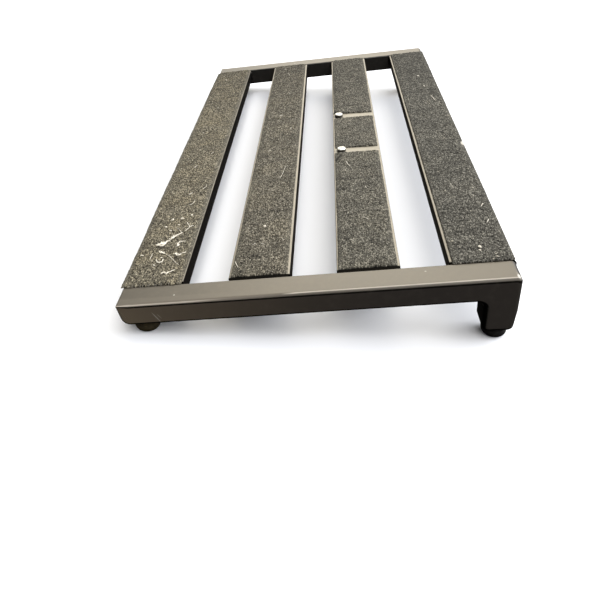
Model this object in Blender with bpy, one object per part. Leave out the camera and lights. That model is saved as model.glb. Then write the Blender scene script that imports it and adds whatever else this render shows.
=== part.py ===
# Four-rail pedalboard: two hollow end frames with a rear leg each, four flat rail
# tubes between them, loop tape on the rails, and four screwed-on rubber feet.
#
# Everything is drawn in the plane of the deck, then tilted once by the parent empty:
#   x  along the rails, left end frame at -x, right end frame at +x
#   y  across the deck, 0 at the front edge, DEPTH at the rear edge
#   z  normal to the deck, 0 on top of the end frames
# The finished board is centred over the origin and stands on z = 0.
import math

import bmesh
import bpy
from mathutils import Matrix, Vector

MM = 0.001

# ---- driving dimensions, in metres ------------------------------------------------
LENGTH = 609.6 * MM          # over both end frames
DEPTH = 317.5 * MM           # front edge to rear edge
TILT = math.radians(6.0)     # deck slope, rear high
FIT = 0.3 * MM               # clearance between touching pieces
SMOOTH_ANGLE = math.radians(35.0)
CUT_PAST = 3.0 * MM          # how far a drilling cutter runs past the wall it cuts

BAR_W = 25.4 * MM            # end frame, along x
BAR_H = 21.0 * MM            # end frame, normal to the deck
WALL = 2.6 * MM              # end frame wall
LEG_H = 52.5 * MM            # deck top to the underside of the rear leg
LEG_FRONT_Y = 290.5 * MM     # y of the leg's front side
INNER = LENGTH / 2 - BAR_W   # distance from x = 0 to each end frame's inner face

RAIL_COUNT = 4
RAIL_W = 50.8 * MM
RAIL_H = 12.7 * MM
RAIL_PITCH = (DEPTH - RAIL_W) / (RAIL_COUNT - 1)

# Shared by the foot screws and the deck screws
SCREW_R = 2.45 * MM
SCREW_HOLE_R = SCREW_R + 0.35 * MM
SCREW_TIP_INSET = 0.5 * MM   # tip chamfer, across
SCREW_TIP_L = 0.6 * MM       # tip chamfer, along the screw
WASHER_T = 1.0 * MM

SIDES = (("left", -1.0), ("right", 1.0))
# Foot places: name, y, z of the end frame's underside there
FOOT_PLACES = (
    ("front", 16.5 * MM, -BAR_H),
    ("rear", 302.6 * MM, -LEG_H),
)
# Deck screw places in rail 3: x, y
DECK_SCREWS = (
    (-50.8 * MM, 185.2 * MM),
    (50.8 * MM, 186.4 * MM),
)


# ---- scene and materials ----------------------------------------------------------
for old_object in list(bpy.data.objects):
    bpy.data.objects.remove(old_object, do_unlink=True)


def material(name, colour, roughness, metallic):
    new = bpy.data.materials.new(name)
    new.use_nodes = True
    inputs = new.node_tree.nodes["Principled BSDF"].inputs
    inputs["Base Color"].default_value = (*colour, 1.0)
    inputs["Roughness"].default_value = roughness
    inputs["Metallic"].default_value = metallic
    return new


BLACK_COAT = material("black_powder_coat", colour=(0.030, 0.028, 0.026),
                      roughness=0.42, metallic=0.0)
RAIL_COAT = material("rail_powder_coat", colour=(0.034, 0.032, 0.029),
                     roughness=0.45, metallic=0.0)
LOOP_PILE = material("loop_pile", colour=(0.105, 0.098, 0.085),
                     roughness=0.95, metallic=0.0)
RUBBER = material("foot_rubber", colour=(0.012, 0.012, 0.012),
                  roughness=0.75, metallic=0.0)
ZINC = material("zinc_plated_steel", colour=(0.62, 0.62, 0.60),
                roughness=0.32, metallic=1.0)
NICKEL = material("bright_screw_steel", colour=(0.78, 0.77, 0.74),
                  roughness=0.22, metallic=1.0)

deck = bpy.data.objects.new("deck_plane", None)
bpy.context.scene.collection.objects.link(deck)


# ---- modelling helpers ------------------------------------------------------------
def add_object(bm, name, mat, location=(0, 0, 0)):
    """Turn a bmesh into an object under the deck empty, its origin at location."""
    bmesh.ops.recalc_face_normals(bm, faces=bm.faces)
    mesh = bpy.data.meshes.new(name)
    bm.to_mesh(mesh)
    bm.free()
    mesh.materials.append(mat)
    mesh.shade_smooth()
    mesh.set_sharp_from_angle(angle=SMOOTH_ANGLE)
    new = bpy.data.objects.new(name, mesh)
    bpy.context.scene.collection.objects.link(new)
    new.parent = deck
    new.location = location
    return new


def cut(piece, bm, name):
    """Subtract bm from piece, through a hidden helper object called name."""
    tool = add_object(bm, name, ZINC)
    tool.hide_render = True
    tool.display_type = "WIRE"
    boolean = piece.modifiers.new("cut_" + name, "BOOLEAN")
    boolean.operation = "DIFFERENCE"
    boolean.solver = "EXACT"
    boolean.object = tool


def skin(sections, closed):
    """Solid through rings of (x, y, z) points; a one-point ring makes a fan.
    closed joins the last ring to the first, otherwise the two end rings are capped."""
    bm = bmesh.new()
    rings = [[bm.verts.new(point) for point in section] for section in sections]
    pairs = list(zip(rings, rings[1:]))
    if closed:
        pairs.append((rings[-1], rings[0]))
    for first, second in pairs:
        count = max(len(first), len(second))
        for i in range(count):
            j = (i + 1) % count
            if len(first) == 1:
                bm.faces.new((first[0], second[i], second[j]))
            elif len(second) == 1:
                bm.faces.new((second[0], first[i], first[j]))
            else:
                bm.faces.new((first[i], first[j], second[j], second[i]))
    if not closed:
        for ring in (rings[0], rings[-1]):
            if len(ring) > 1:
                bm.faces.new(ring)
    return bm


def arc(centre_y, centre_z, radius, start, end, steps):
    """Points (y, z) on an arc, angles in degrees."""
    angles = [math.radians(start + (end - start) * i / steps) for i in range(steps + 1)]
    return [(centre_y + radius * math.cos(angle), centre_z + radius * math.sin(angle))
            for angle in angles]


def drill(radius, bottom, top, x, y):
    """Cylinder along z, for cutting a round hole."""
    bm = bmesh.new()
    bmesh.ops.create_cone(bm, cap_ends=True, segments=24, radius1=radius, radius2=radius,
                          depth=top - bottom,
                          matrix=Matrix.Translation((x, y, (bottom + top) / 2)))
    return bm


def lathe(name, mat, x, y, profile, segments, closed):
    """Turned piece about the deck normal at (x, y). profile holds (radius, z), where z
    is a height or a function giving the height at a deck y."""
    rings = []
    for radius, z in profile:
        ring = []
        for i in range(segments if radius else 1):
            angle = 2 * math.pi * i / segments
            local_y = radius * math.sin(angle)
            height = z(y + local_y) if callable(z) else z
            ring.append((radius * math.cos(angle), local_y, height))
        rings.append(ring)
    add_object(skin(rings, closed), name, mat, location=(x, y, 0))


def washer(name, x, y, radius, top):
    bottom = top - WASHER_T
    profile = [(SCREW_HOLE_R, top), (radius, top), (radius, bottom), (SCREW_HOLE_R, bottom)]
    lathe(name, ZINC, x, y, profile, segments=24, closed=True)


# ---- end frames -------------------------------------------------------------------
EDGE_R = 2.4 * MM            # long edges of the end frame
EDGE_STEPS = 4
FRONT_EDGE_R = EDGE_R * 0.6  # edges at the top front corner
UNDER_EDGE_R = EDGE_R * 0.8  # edges at the nose and along the underside
LEG_EDGE_R = 4.6 * MM        # upright edges of the leg's front side
LEG_TOE_EDGE_R = LEG_EDGE_R * 0.86

TOP_REAR_R = 5.0 * MM        # corners seen from the side
TOP_FRONT_R = 1.6 * MM
NOSE_R = 7.5 * MM
NOSE_Y = 0.3 * MM            # y where the nose curve starts
FILLET_R = 7.5 * MM          # between the bar's underside and the leg
LEG_CORNER_R = 5.0 * MM
LEG_REAR_INSET = 2.2 * MM    # foot of the leg, forward of the rear edge
REAR_BEND_INSET = 0.5 * MM   # point part-way up the leg's rear side
REAR_BEND_Z = -32.0 * MM

BORE_FRONT_GAP = 1.0 * MM    # extra wall at the front and the rear of the bore
BORE_REAR_GAP = 0.4 * MM
BORE_NOSE_CUT = 4.0 * MM     # bevel behind the nose
BORE_FILLET_Y = 4.0 * MM     # bevel behind the fillet, along y and down z
BORE_FILLET_Z = 6.0 * MM
NUT_HOLE_R = 3.9 * MM        # hole for a blind rivet nut


def side_outline():
    """Side view of an end frame as (y, z, edge radius), anticlockwise with y to the right.
    Runs from the top rear corner forward along the top, down the nose, back along the
    underside, through the fillet, round the leg and up its rear side."""
    outline = []

    def add(points, edge_radius):
        outline.extend((y, z, edge_radius) for y, z in points)

    add(arc(DEPTH - TOP_REAR_R, -TOP_REAR_R, TOP_REAR_R, 0, 90, 6), EDGE_R)
    add(arc(TOP_FRONT_R, -TOP_FRONT_R, TOP_FRONT_R, 90, 180, 3), FRONT_EDGE_R)
    add(arc(NOSE_Y + NOSE_R, -BAR_H + NOSE_R, NOSE_R, 180, 270, 6), UNDER_EDGE_R)

    # The edge radius grows smoothly through the fillet, from the bar's to the leg's
    fillet = arc(LEG_FRONT_Y - FILLET_R, -BAR_H - FILLET_R, FILLET_R, 90, 0, 6)
    for i, point in enumerate(fillet):
        along = i / (len(fillet) - 1)
        blend = along * along * (3 - 2 * along)
        add([point], UNDER_EDGE_R * (1 - blend) + LEG_EDGE_R * blend)

    corner_z = -LEG_H + LEG_CORNER_R
    add(arc(LEG_FRONT_Y + LEG_CORNER_R, corner_z, LEG_CORNER_R, 180, 270, 5),
        LEG_TOE_EDGE_R)
    add(arc(DEPTH - LEG_REAR_INSET - LEG_CORNER_R, corner_z, LEG_CORNER_R, 270, 355, 5),
        EDGE_R)
    add([(DEPTH - REAR_BEND_INSET, REAR_BEND_Z)], EDGE_R)
    return outline


def inward_normals(outline):
    """Unit (y, z) normals pointing into an anticlockwise outline."""
    normals = []
    for i in range(len(outline)):
        before = Vector(outline[i - 1][:2])
        here = Vector(outline[i][:2])
        after = Vector(outline[(i + 1) % len(outline)][:2])
        tangent = (here - before).normalized() + (after - here).normalized()
        tangent.normalize()
        normals.append((-tangent.y, tangent.x))
    return normals


def end_frame_shell(sign):
    """Outside of the end frame on the side given by sign, its edges rounded."""
    outline = side_outline()
    normals = inward_normals(outline)
    faces = (
        (sign * INNER, sign, range(EDGE_STEPS + 1)),
        (sign * LENGTH / 2, -sign, range(EDGE_STEPS, -1, -1)),
    )
    rings = []
    for face_x, direction, steps in faces:
        for step in steps:
            angle = math.radians(90.0 * step / EDGE_STEPS)
            inset = 1 - math.sin(angle)
            advance = 1 - math.cos(angle)
            rings.append([(face_x + direction * radius * advance,
                           y + normal_y * radius * inset,
                           z + normal_z * radius * inset)
                          for (y, z, radius), (normal_y, normal_z) in zip(outline, normals)])
    return skin(rings, closed=False)


def end_frame_bore(sign):
    """The hollow inside an end frame: the bar's bore and the leg's, as one body."""
    low_x, high_x = sorted((sign * INNER, sign * LENGTH / 2))
    front = WALL + BORE_FRONT_GAP
    rear = DEPTH - WALL - BORE_REAR_GAP
    bar_floor = -BAR_H + WALL
    leg_floor = -LEG_H + WALL
    outline = [
        (front, -WALL),
        (rear, -WALL),
        (rear, -BAR_H),
        (rear - LEG_REAR_INSET, leg_floor),
        (LEG_FRONT_Y + WALL, leg_floor),
        (LEG_FRONT_Y + WALL, -BAR_H - BORE_FILLET_Z),
        (LEG_FRONT_Y - BORE_FILLET_Y, bar_floor),
        (front + BORE_NOSE_CUT, bar_floor),
        (front, bar_floor + BORE_NOSE_CUT),
    ]
    return skin([[(x, y, z) for y, z in outline] for x in (low_x + WALL, high_x - WALL)],
                closed=False)


def foot_x(sign):
    return sign * (LENGTH / 2 - BAR_W / 2)


def end_frame(side, sign):
    frame = add_object(end_frame_shell(sign), "end_frame_" + side, BLACK_COAT)
    cut(frame, end_frame_bore(sign), "bore_" + side)
    for place, y, face_z in FOOT_PLACES:
        hole = drill(NUT_HOLE_R, face_z - CUT_PAST, face_z + WALL + CUT_PAST,
                     foot_x(sign), y)
        cut(frame, hole, "nut_hole_" + place + "_" + side)


for side, sign in SIDES:
    end_frame(side, sign)


# ---- rails ------------------------------------------------------------------------
RAIL_NAMES = ("rail_1_front", "rail_2", "rail_3", "rail_4_rear")
RAIL_WALL = 1.6 * MM
RAIL_EDGE_R = 0.8 * MM
RAIL_BORE_EDGE_R = 0.6 * MM
RAIL_CHAMFER_L = 1.4 * MM            # weld preparation round each end, along x
RAIL_CHAMFER_D = 0.8 * RAIL_WALL     # the same, into the wall


def rail_section(x, inset, corner_r):
    """Rounded rectangle at x, inset all round from the rail's outside."""
    side_y = RAIL_W / 2 - inset - corner_r
    top = -inset - corner_r
    bottom = -RAIL_H + inset + corner_r
    corners = ((side_y, top, 0), (-side_y, top, 90),
               (-side_y, bottom, 180), (side_y, bottom, 270))
    return [(x, y, z) for centre_y, centre_z, start in corners
            for y, z in arc(centre_y, centre_z, corner_r, start, start + 90, 4)]


def rail(name, centre_y):
    """Rectangular tube, open at both ends, its outside chamfered at the ends."""
    end_x = INNER - FIT
    body_x = end_x - RAIL_CHAMFER_L
    chamfer_r = RAIL_EDGE_R - 0.5 * RAIL_CHAMFER_D
    sections = [
        rail_section(-end_x, RAIL_WALL, RAIL_BORE_EDGE_R),
        rail_section(-end_x, RAIL_CHAMFER_D, chamfer_r),
        rail_section(-body_x, 0.0, RAIL_EDGE_R),
        rail_section(body_x, 0.0, RAIL_EDGE_R),
        rail_section(end_x, RAIL_CHAMFER_D, chamfer_r),
        rail_section(end_x, RAIL_WALL, RAIL_BORE_EDGE_R),
    ]
    return add_object(skin(sections, closed=True), name, RAIL_COAT,
                      location=(0, centre_y, 0))


rails = [rail(name, i * RAIL_PITCH + RAIL_W / 2) for i, name in enumerate(RAIL_NAMES)]
for number, (x, y) in enumerate(DECK_SCREWS, start=1):
    cut(rails[2], drill(SCREW_HOLE_R, -RAIL_H - CUT_PAST, CUT_PAST, x, y),
        "screw_hole_%d" % number)


# ---- loop tape --------------------------------------------------------------------
TAPE_TOP = 2.0 * MM
FULL = INNER - 0.2 * MM      # tape that reaches the end frame
OVER = INNER + 1.2 * MM      # tape that runs a little onto the end frame
SHORT = INNER - 2.1 * MM     # tape that stops short of the end frame

# Name, then y of the front and rear edges, x of the left end at those two edges, and
# x of the right end at those two edges. Some of the end cuts are not square.
STRIPS = (
    ("1", (-1.4 * MM, 50.0 * MM), (-FULL, -FULL), (OVER, OVER)),
    ("2", (90.9 * MM, 137.6 * MM), (-FULL, -FULL), (SHORT, SHORT)),
    ("3_left", (179.4 * MM, 226.6 * MM), (-FULL, -FULL), (-58.5 * MM, -54.2 * MM)),
    ("3_middle", (179.6 * MM, 226.4 * MM), (-42.4 * MM, -41.8 * MM), (44.0 * MM, 46.9 * MM)),
    ("3_right", (179.2 * MM, 226.6 * MM), (57.2 * MM, 59.4 * MM), (SHORT, SHORT)),
    ("4", (268.9 * MM, 316.9 * MM), (-FULL, -FULL), (OVER, OVER)),
)


def loop_strip(name, edges, left, right):
    """Flat slab of tape lying on a rail."""
    corners = [(left[0], edges[0]), (right[0], edges[0]),
               (right[1], edges[1]), (left[1], edges[1])]
    layers = [[(x, y, z) for x, y in corners] for z in (FIT, TAPE_TOP)]
    add_object(skin(layers, closed=False), "loop_strip_" + name, LOOP_PILE)


for strip in STRIPS:
    loop_strip(*strip)


# ---- feet and their fasteners -----------------------------------------------------
FOOT_H = 11.0 * MM           # height at the middle of a front foot
FOOT_R = 10.4 * MM
FOOT_TOP_INSET = 0.6 * MM    # chamfer round the top, across and down
FOOT_TOP_DROP = 0.7 * MM
FOOT_SOLE_INSET = 3.4 * MM   # rounding round the sole, across and up
FOOT_SOLE_RISE = 4.4 * MM
FOOT_SOLE_STEPS = 4
FOOT_RECESS_R = 5.7 * MM
FOOT_ROOF_T = 4.6 * MM       # end frame to the roof of the recess, which seats the washer
FOOT_WASHER_R = 5.2 * MM

FOOT_HEAD_R = 4.6 * MM
FOOT_HEAD_H = 2.6 * MM
FOOT_SCREW_L = 15.0 * MM

NUT_BODY_R = 3.6 * MM
NUT_FLANGE_R = 5.6 * MM
NUT_FLANGE_T = 1.28 * MM     # straight rim of the flange
NUT_TAPER_H = 0.8 * MM       # taper from the rim back to the barrel
NUT_BASE = 0.1 * MM          # barrel's lower end, above the frame's underside
NUT_TOP = 10.5 * MM          # barrel's upper end, above the frame's underside


def above_floor(height):
    """Height above the level floor as a function of deck y. In the tilted deck plane
    the floor falls away towards the rear."""
    front_foot_y = FOOT_PLACES[0][1]
    return lambda y: -BAR_H - FOOT_H - (y - front_foot_y) * math.tan(TILT) + height


def foot(tag, x, y, face_z):
    """Rubber foot, square to the deck at the top, its sole flat on the floor."""
    top = face_z - FIT
    roof = face_z - FOOT_ROOF_T
    profile = [
        (SCREW_HOLE_R, top),
        (FOOT_R - FOOT_TOP_INSET, top),
        (FOOT_R, top - FOOT_TOP_DROP),
    ]
    for step in range(FOOT_SOLE_STEPS + 1):
        angle = math.radians(90.0 * step / FOOT_SOLE_STEPS)
        profile.append((FOOT_R - FOOT_SOLE_INSET * (1 - math.cos(angle)),
                        above_floor(FOOT_SOLE_RISE * (1 - math.sin(angle)))))
    profile += [
        (FOOT_RECESS_R, above_floor(0.0)),
        (FOOT_RECESS_R, roof),
        (SCREW_HOLE_R, roof),
    ]
    lathe("foot_" + tag, RUBBER, x, y, profile, segments=32, closed=True)


def foot_screw(tag, x, y, seat):
    """Screw pointing up from its seat, with the head and its drive recess below."""
    face = seat - FOOT_HEAD_H
    tip = seat + FOOT_SCREW_L
    profile = [
        (0, tip),
        (SCREW_R - SCREW_TIP_INSET, tip),
        (SCREW_R, tip - SCREW_TIP_L),
        (SCREW_R, seat),
        # rounded head
        (FOOT_HEAD_R, seat),
        (FOOT_HEAD_R, face + 1.2 * MM),
        (FOOT_HEAD_R - 1.0 * MM, face + 0.3 * MM),
        (FOOT_HEAD_R - 2.2 * MM, face),
        # drive recess
        (1.5 * MM, face),
        (1.2 * MM, face + 1.4 * MM),
        (0, face + 1.7 * MM),
    ]
    lathe("foot_screw_" + tag, ZINC, x, y, profile, segments=20, closed=False)


def rivet_nut(tag, x, y, face_z):
    """Blind rivet nut: barrel in the frame's hole, flange inside the wall."""
    base = face_z + NUT_BASE
    top = face_z + NUT_TOP
    flange = face_z + WALL + FIT
    bore_r = SCREW_R + FIT
    profile = [
        (bore_r, base),
        (NUT_BODY_R, base),
        (NUT_BODY_R, flange),
        (NUT_FLANGE_R, flange),
        (NUT_FLANGE_R, flange + NUT_FLANGE_T),
        (NUT_BODY_R, flange + NUT_FLANGE_T + NUT_TAPER_H),
        (NUT_BODY_R, top),
        (bore_r, top),
    ]
    lathe("rivet_nut_" + tag, ZINC, x, y, profile, segments=20, closed=True)


for side, sign in SIDES:
    for place, y, face_z in FOOT_PLACES:
        tag = place + "_" + side
        x = foot_x(sign)
        washer_top = face_z - FOOT_ROOF_T - FIT
        foot(tag, x, y, face_z)
        washer("foot_washer_" + tag, x, y, FOOT_WASHER_R, washer_top)
        foot_screw(tag, x, y, washer_top - WASHER_T - FIT)
        rivet_nut(tag, x, y, face_z)


# ---- screws, washers and nuts through rail 3 --------------------------------------
DECK_HEAD_R = 4.7 * MM
DECK_HEAD_H = 3.7 * MM       # to the top of the full dome, before the recess
DECK_HEAD_RIM_H = 2.0 * MM   # straight side of the head
DOME_STEPS = 4
DRIVE_R = 1.9 * MM           # mouth of the drive recess
DRIVE_FLOOR_R = 1.3 * MM
DRIVE_EDGE_Z = 2.0 * MM      # recess floor above the seat, at its edge and centre
DRIVE_CENTRE_Z = 1.6 * MM
DECK_SCREW_L = 21.0 * MM
DECK_WASHER_R = 5.0 * MM
DECK_NUT_R = 4.6 * MM        # over the corners
DECK_NUT_H = 4.0 * MM
DECK_NUT_SEGMENTS = 24


def deck_screw(number, x, y):
    """Screw pointing down through the rail, with a domed head on top."""
    seat = FIT
    tip = seat - DECK_SCREW_L
    profile = [(0, seat + DRIVE_CENTRE_Z), (DRIVE_FLOOR_R, seat + DRIVE_EDGE_Z)]
    mouth_angle = math.acos(DRIVE_R / DECK_HEAD_R)
    for step in range(DOME_STEPS + 1):
        angle = mouth_angle * (1 - step / DOME_STEPS)
        rise = (DECK_HEAD_H - DECK_HEAD_RIM_H) * math.sin(angle)
        profile.append((DECK_HEAD_R * math.cos(angle), seat + DECK_HEAD_RIM_H + rise))
    profile += [
        (DECK_HEAD_R, seat),
        (SCREW_R, seat),
        (SCREW_R, tip + SCREW_TIP_L),
        (SCREW_R - SCREW_TIP_INSET, tip),
        (0, tip),
    ]
    lathe("deck_screw_" + number, NICKEL, x, y, profile, segments=24, closed=False)


def deck_nut(number, x, y, top):
    """Hexagon nut: six flats outside, round bore inside."""
    bore = []
    hexagon = []
    for i in range(DECK_NUT_SEGMENTS):
        angle = 2 * math.pi * i / DECK_NUT_SEGMENTS
        from_flat = (angle % (math.pi / 3)) - math.pi / 6
        hex_r = DECK_NUT_R * math.cos(math.pi / 6) / math.cos(from_flat)
        bore.append((SCREW_HOLE_R * math.cos(angle), SCREW_HOLE_R * math.sin(angle)))
        hexagon.append((hex_r * math.cos(angle), hex_r * math.sin(angle)))
    bottom = top - DECK_NUT_H
    levels = ((bore, top), (hexagon, top), (hexagon, bottom), (bore, bottom))
    rings = [[(*point, z) for point in outline] for outline, z in levels]
    add_object(skin(rings, closed=True), "deck_nut_" + number, ZINC, location=(x, y, 0))


for i, (x, y) in enumerate(DECK_SCREWS, start=1):
    number = str(i)
    washer_top = -RAIL_H - FIT
    deck_screw(number, x, y)
    washer("deck_washer_" + number, x, y, DECK_WASHER_R, washer_top)
    deck_nut(number, x, y, washer_top - WASHER_T - FIT)


# ---- tilt the deck, centre the board over the origin and stand it on z = 0 ---------
turn = Matrix.Rotation(TILT, 3, "X")
turned = [turn @ (vertex.co + piece.location)
          for piece in deck.children if not piece.hide_render
          for vertex in piece.data.vertices]
turned_y = [point.y for point in turned]
deck.rotation_euler = (TILT, 0, 0)
deck.location = (0, -(min(turned_y) + max(turned_y)) / 2, -min(point.z for point in turned))
bpy.context.view_layer.update()
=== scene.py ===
"""Looks for a pedalboard: four taped rails between two end frames, on four rubber feet.

Every piece is modelled in the plane of the deck: x along the rails, y across the deck from
the front edge, z normal to the deck with 0 on top of the end frames. DECK turns that plane,
which rises to the rear, into the row frame. The viewer looks from the right end, so "near"
is +x and "far" is -x. Metal and rubber parts are in metres; tape, fibres, lint and shader
positions are in millimetres.
"""
import bpy
import bmesh
import math
import random
from collections import namedtuple
from functools import reduce
import numpy as np
from mathutils import Matrix, Vector


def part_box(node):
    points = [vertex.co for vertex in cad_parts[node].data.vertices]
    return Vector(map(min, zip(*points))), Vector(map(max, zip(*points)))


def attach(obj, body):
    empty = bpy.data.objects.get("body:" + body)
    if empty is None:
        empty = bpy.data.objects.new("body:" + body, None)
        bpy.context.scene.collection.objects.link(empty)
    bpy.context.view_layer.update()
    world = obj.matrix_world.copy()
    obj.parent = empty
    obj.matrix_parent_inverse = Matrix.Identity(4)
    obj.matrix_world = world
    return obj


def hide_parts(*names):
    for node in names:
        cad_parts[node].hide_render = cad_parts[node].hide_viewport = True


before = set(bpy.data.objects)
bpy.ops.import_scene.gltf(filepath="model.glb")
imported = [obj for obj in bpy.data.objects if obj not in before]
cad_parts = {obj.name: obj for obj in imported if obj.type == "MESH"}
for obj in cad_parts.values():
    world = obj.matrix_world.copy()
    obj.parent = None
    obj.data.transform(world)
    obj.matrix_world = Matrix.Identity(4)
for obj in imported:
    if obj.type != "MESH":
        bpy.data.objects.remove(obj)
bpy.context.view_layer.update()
MM = 0.001

# ------------------------------------------------------------------ driving sizes
TILT = math.radians(6.0)
LENGTH, DEPTH = 609.6 * MM, 317.5 * MM
BAR_W, BAR_H, LEG_H = 25.4 * MM, 21.0 * MM, 52.5 * MM
LEG_FRONT_Y = 290.5 * MM
INNER = LENGTH / 2 - BAR_W                     # inner face of an end frame
RAIL_W, RAIL_GAP, RAIL_H, RAIL_WALL = 50.8 * MM, 38.1 * MM, 12.7 * MM, 1.6 * MM
RAIL_CORNER = 0.8 * MM
RAIL_MID_Y = [i * (RAIL_W + RAIL_GAP) + RAIL_W / 2 for i in range(4)]
CAD_TAPE_TOP = 2.0 * MM
TAPE_2_FRONT = 90.9                            # millimetres
FOOT_X = LENGTH / 2 - BAR_W / 2
FOOT_Y = {"front": 16.5 * MM, "rear": 302.6 * MM}
FOOT_FACE = {"front": -BAR_H, "rear": -LEG_H}  # underside that each foot sits on
FOOT_ROOF = 4.6 * MM                           # from that underside to the foot's recess
SOLE_Z = -BAR_H - 11.0 * MM                    # middle of the front foot's sole
SIDES = (("left", -1.0), ("right", 1.0))
CORNERS = [(where, side, sign) for where in ("front", "rear") for side, sign in SIDES]

# the front foot's sole lies on the floor, which fixes z; tape 2 of the CAD fixes y
TURN = Matrix.Rotation(TILT, 4, "X")
sole = TURN @ Vector((0, FOOT_Y["front"], SOLE_Z))
tape_edge = TURN @ Vector((0, TAPE_2_FRONT * MM, CAD_TAPE_TOP))
tape_low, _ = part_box("loop_strip_2")
DECK = Matrix.Translation((0, tape_low.y - tape_edge.y, -sole.z)) @ TURN


def floor_z(y):
    """Height of the floor below the deck plane."""
    return SOLE_Z - (y - FOOT_Y["front"]) * math.tan(TILT)


# ------------------------------------------------------------------ mesh helpers
def add_mesh(name, verts, faces, mat, replaces=None, sharp_deg=None, attrs=None,
             outward=True):
    """A smooth mesh object from deck-plane vertices in metres, placed in the row frame."""
    mesh = bpy.data.meshes.new(name)
    turn = np.array(DECK)
    placed = np.asarray(verts, dtype=np.float64) @ turn[:3, :3].T + turn[:3, 3]
    mesh.from_pydata(placed.tolist(), [], [list(map(int, face)) for face in faces])
    mesh.update()
    mesh.shade_smooth()
    if sharp_deg:
        mesh.set_sharp_from_angle(angle=math.radians(sharp_deg))
    for key, values in (attrs or {}).items():
        attribute = mesh.attributes.new(key, "FLOAT", "POINT")
        attribute.data.foreach_set("value", np.asarray(values, dtype=np.float32))
    mesh.materials.append(mat)
    part = bpy.data.objects.new(name, mesh)
    bpy.context.scene.collection.objects.link(part)
    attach(part, "root")
    if outward:
        turn_faces_out(mesh)
    if replaces:
        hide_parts(replaces)


def turn_faces_out(mesh):
    bm = bmesh.new()
    bm.from_mesh(mesh)
    bmesh.ops.recalc_face_normals(bm, faces=bm.faces)
    bm.to_mesh(mesh)
    bm.free()


def loft(rings, first=0, closed=False):
    """Skin through rings of equal length: vertices, quads and the two end caps. first is the
    index of the first vertex; closed joins the last ring to the first."""
    count = len(rings[0])
    starts = [first + i * count for i in range(len(rings))]
    faces = []
    for a, b in zip(starts, starts[1:] + (starts[:1] if closed else [])):
        for i in range(count):
            j = (i + 1) % count
            faces.append((a + i, a + j, b + j, b + i))
    caps = [tuple(range(start, start + count)) for start in (starts[0], starts[-1])]
    return [point for ring in rings for point in ring], faces, caps


def arc(cy, cz, radius, start_deg, end_deg, steps):
    angles = [math.radians(start_deg + (end_deg - start_deg) * i / steps)
              for i in range(steps + 1)]
    return [(cy + radius * math.cos(a), cz + radius * math.sin(a)) for a in angles]


def dense(points, near, step):
    """Adds points on the long straight runs of a closed outline: one close to each end, so
    the shading stays flat, and then about one every step."""
    out = []
    for i, a in enumerate(points):
        b = points[(i + 1) % len(points)]
        out.append(a)
        run = math.hypot(b[0] - a[0], b[1] - a[1])
        if run > 4 * near:
            pieces = max(1, int(round((run - 2 * near) / step)))
            between = [(near + (run - 2 * near) * q / pieces) / run for q in range(1, pieces)]
            for t in [near / run] + between + [1 - near / run]:
                out.append(tuple(a[c] + (b[c] - a[c]) * t for c in range(len(a))))
    return out


def inward(points):
    """Unit normals into a closed outline that runs anticlockwise."""
    out = []
    for i in range(len(points)):
        a, b, c = (Vector(points[k % len(points)][:2]) for k in (i - 1, i, i + 1))
        along = (b - a).normalized() + (c - b).normalized()
        along.normalize()
        out.append((-along.y, along.x))
    return out


# ------------------------------------------------------------------ numpy noise
def lattice_random(ix, iy, seed):
    mixed = ix.astype(np.int64) * 374761393 + iy.astype(np.int64) * 668265263
    mixed = (mixed + seed * 974634777) & 0x7FFFFFFF
    mixed = ((mixed ^ (mixed >> 13)) * 1274126177) & 0x7FFFFFFF
    return ((mixed ^ (mixed >> 16)) & 0xFFFF) / 65535.0


def vnoise(x, y, seed):
    """Smooth value noise in 0..1, one lattice cell per unit."""
    ix, iy = np.floor(x), np.floor(y)
    tx, ty = x - ix, y - iy
    tx, ty = tx * tx * (3 - 2 * tx), ty * ty * (3 - 2 * ty)
    a, b = lattice_random(ix, iy, seed), lattice_random(ix + 1, iy, seed)
    c, d = lattice_random(ix, iy + 1, seed), lattice_random(ix + 1, iy + 1, seed)
    return (a * (1 - tx) + b * tx) * (1 - ty) + (c * (1 - tx) + d * tx) * ty


def layered(x, y, seed):
    """Value noise with a second octave at half strength."""
    return (vnoise(x, y, seed) + 0.5 * vnoise(x * 2, y * 2, seed + 17)) / 1.5


# ------------------------------------------------------------------ node helpers
class Graph:
    """Short calls for building a node tree. A value may be a number or a socket."""

    def __init__(self, tree):
        self.tree = tree

    def put(self, socket, value):
        if isinstance(value, bpy.types.NodeSocket):
            self.tree.links.new(value, socket)
        else:
            socket.default_value = value

    def new(self, kind, inputs=None, **props):
        node = self.tree.nodes.new(kind)
        for key, value in props.items():
            setattr(node, key, value)
        for key, value in (inputs or {}).items():
            self.put(node.inputs[key], value)
        return node

    def math(self, operation, a, b=0.0, clamp=False):
        node = self.new("ShaderNodeMath", {0: a, 1: b}, operation=operation, use_clamp=clamp)
        return node.outputs[0]

    def mul(self, a, b, clamp=False):
        return self.math("MULTIPLY", a, b, clamp)

    def add(self, a, b):
        return self.math("ADD", a, b)

    def sub(self, a, b):
        return self.math("SUBTRACT", a, b)

    def abs(self, a):
        return self.math("ABSOLUTE", a)

    def larger(self, a, b):
        return self.math("MAXIMUM", a, b)

    def vector(self, operation, inputs, out="Vector"):
        return self.new("ShaderNodeVectorMath", inputs, operation=operation).outputs[out]


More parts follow.
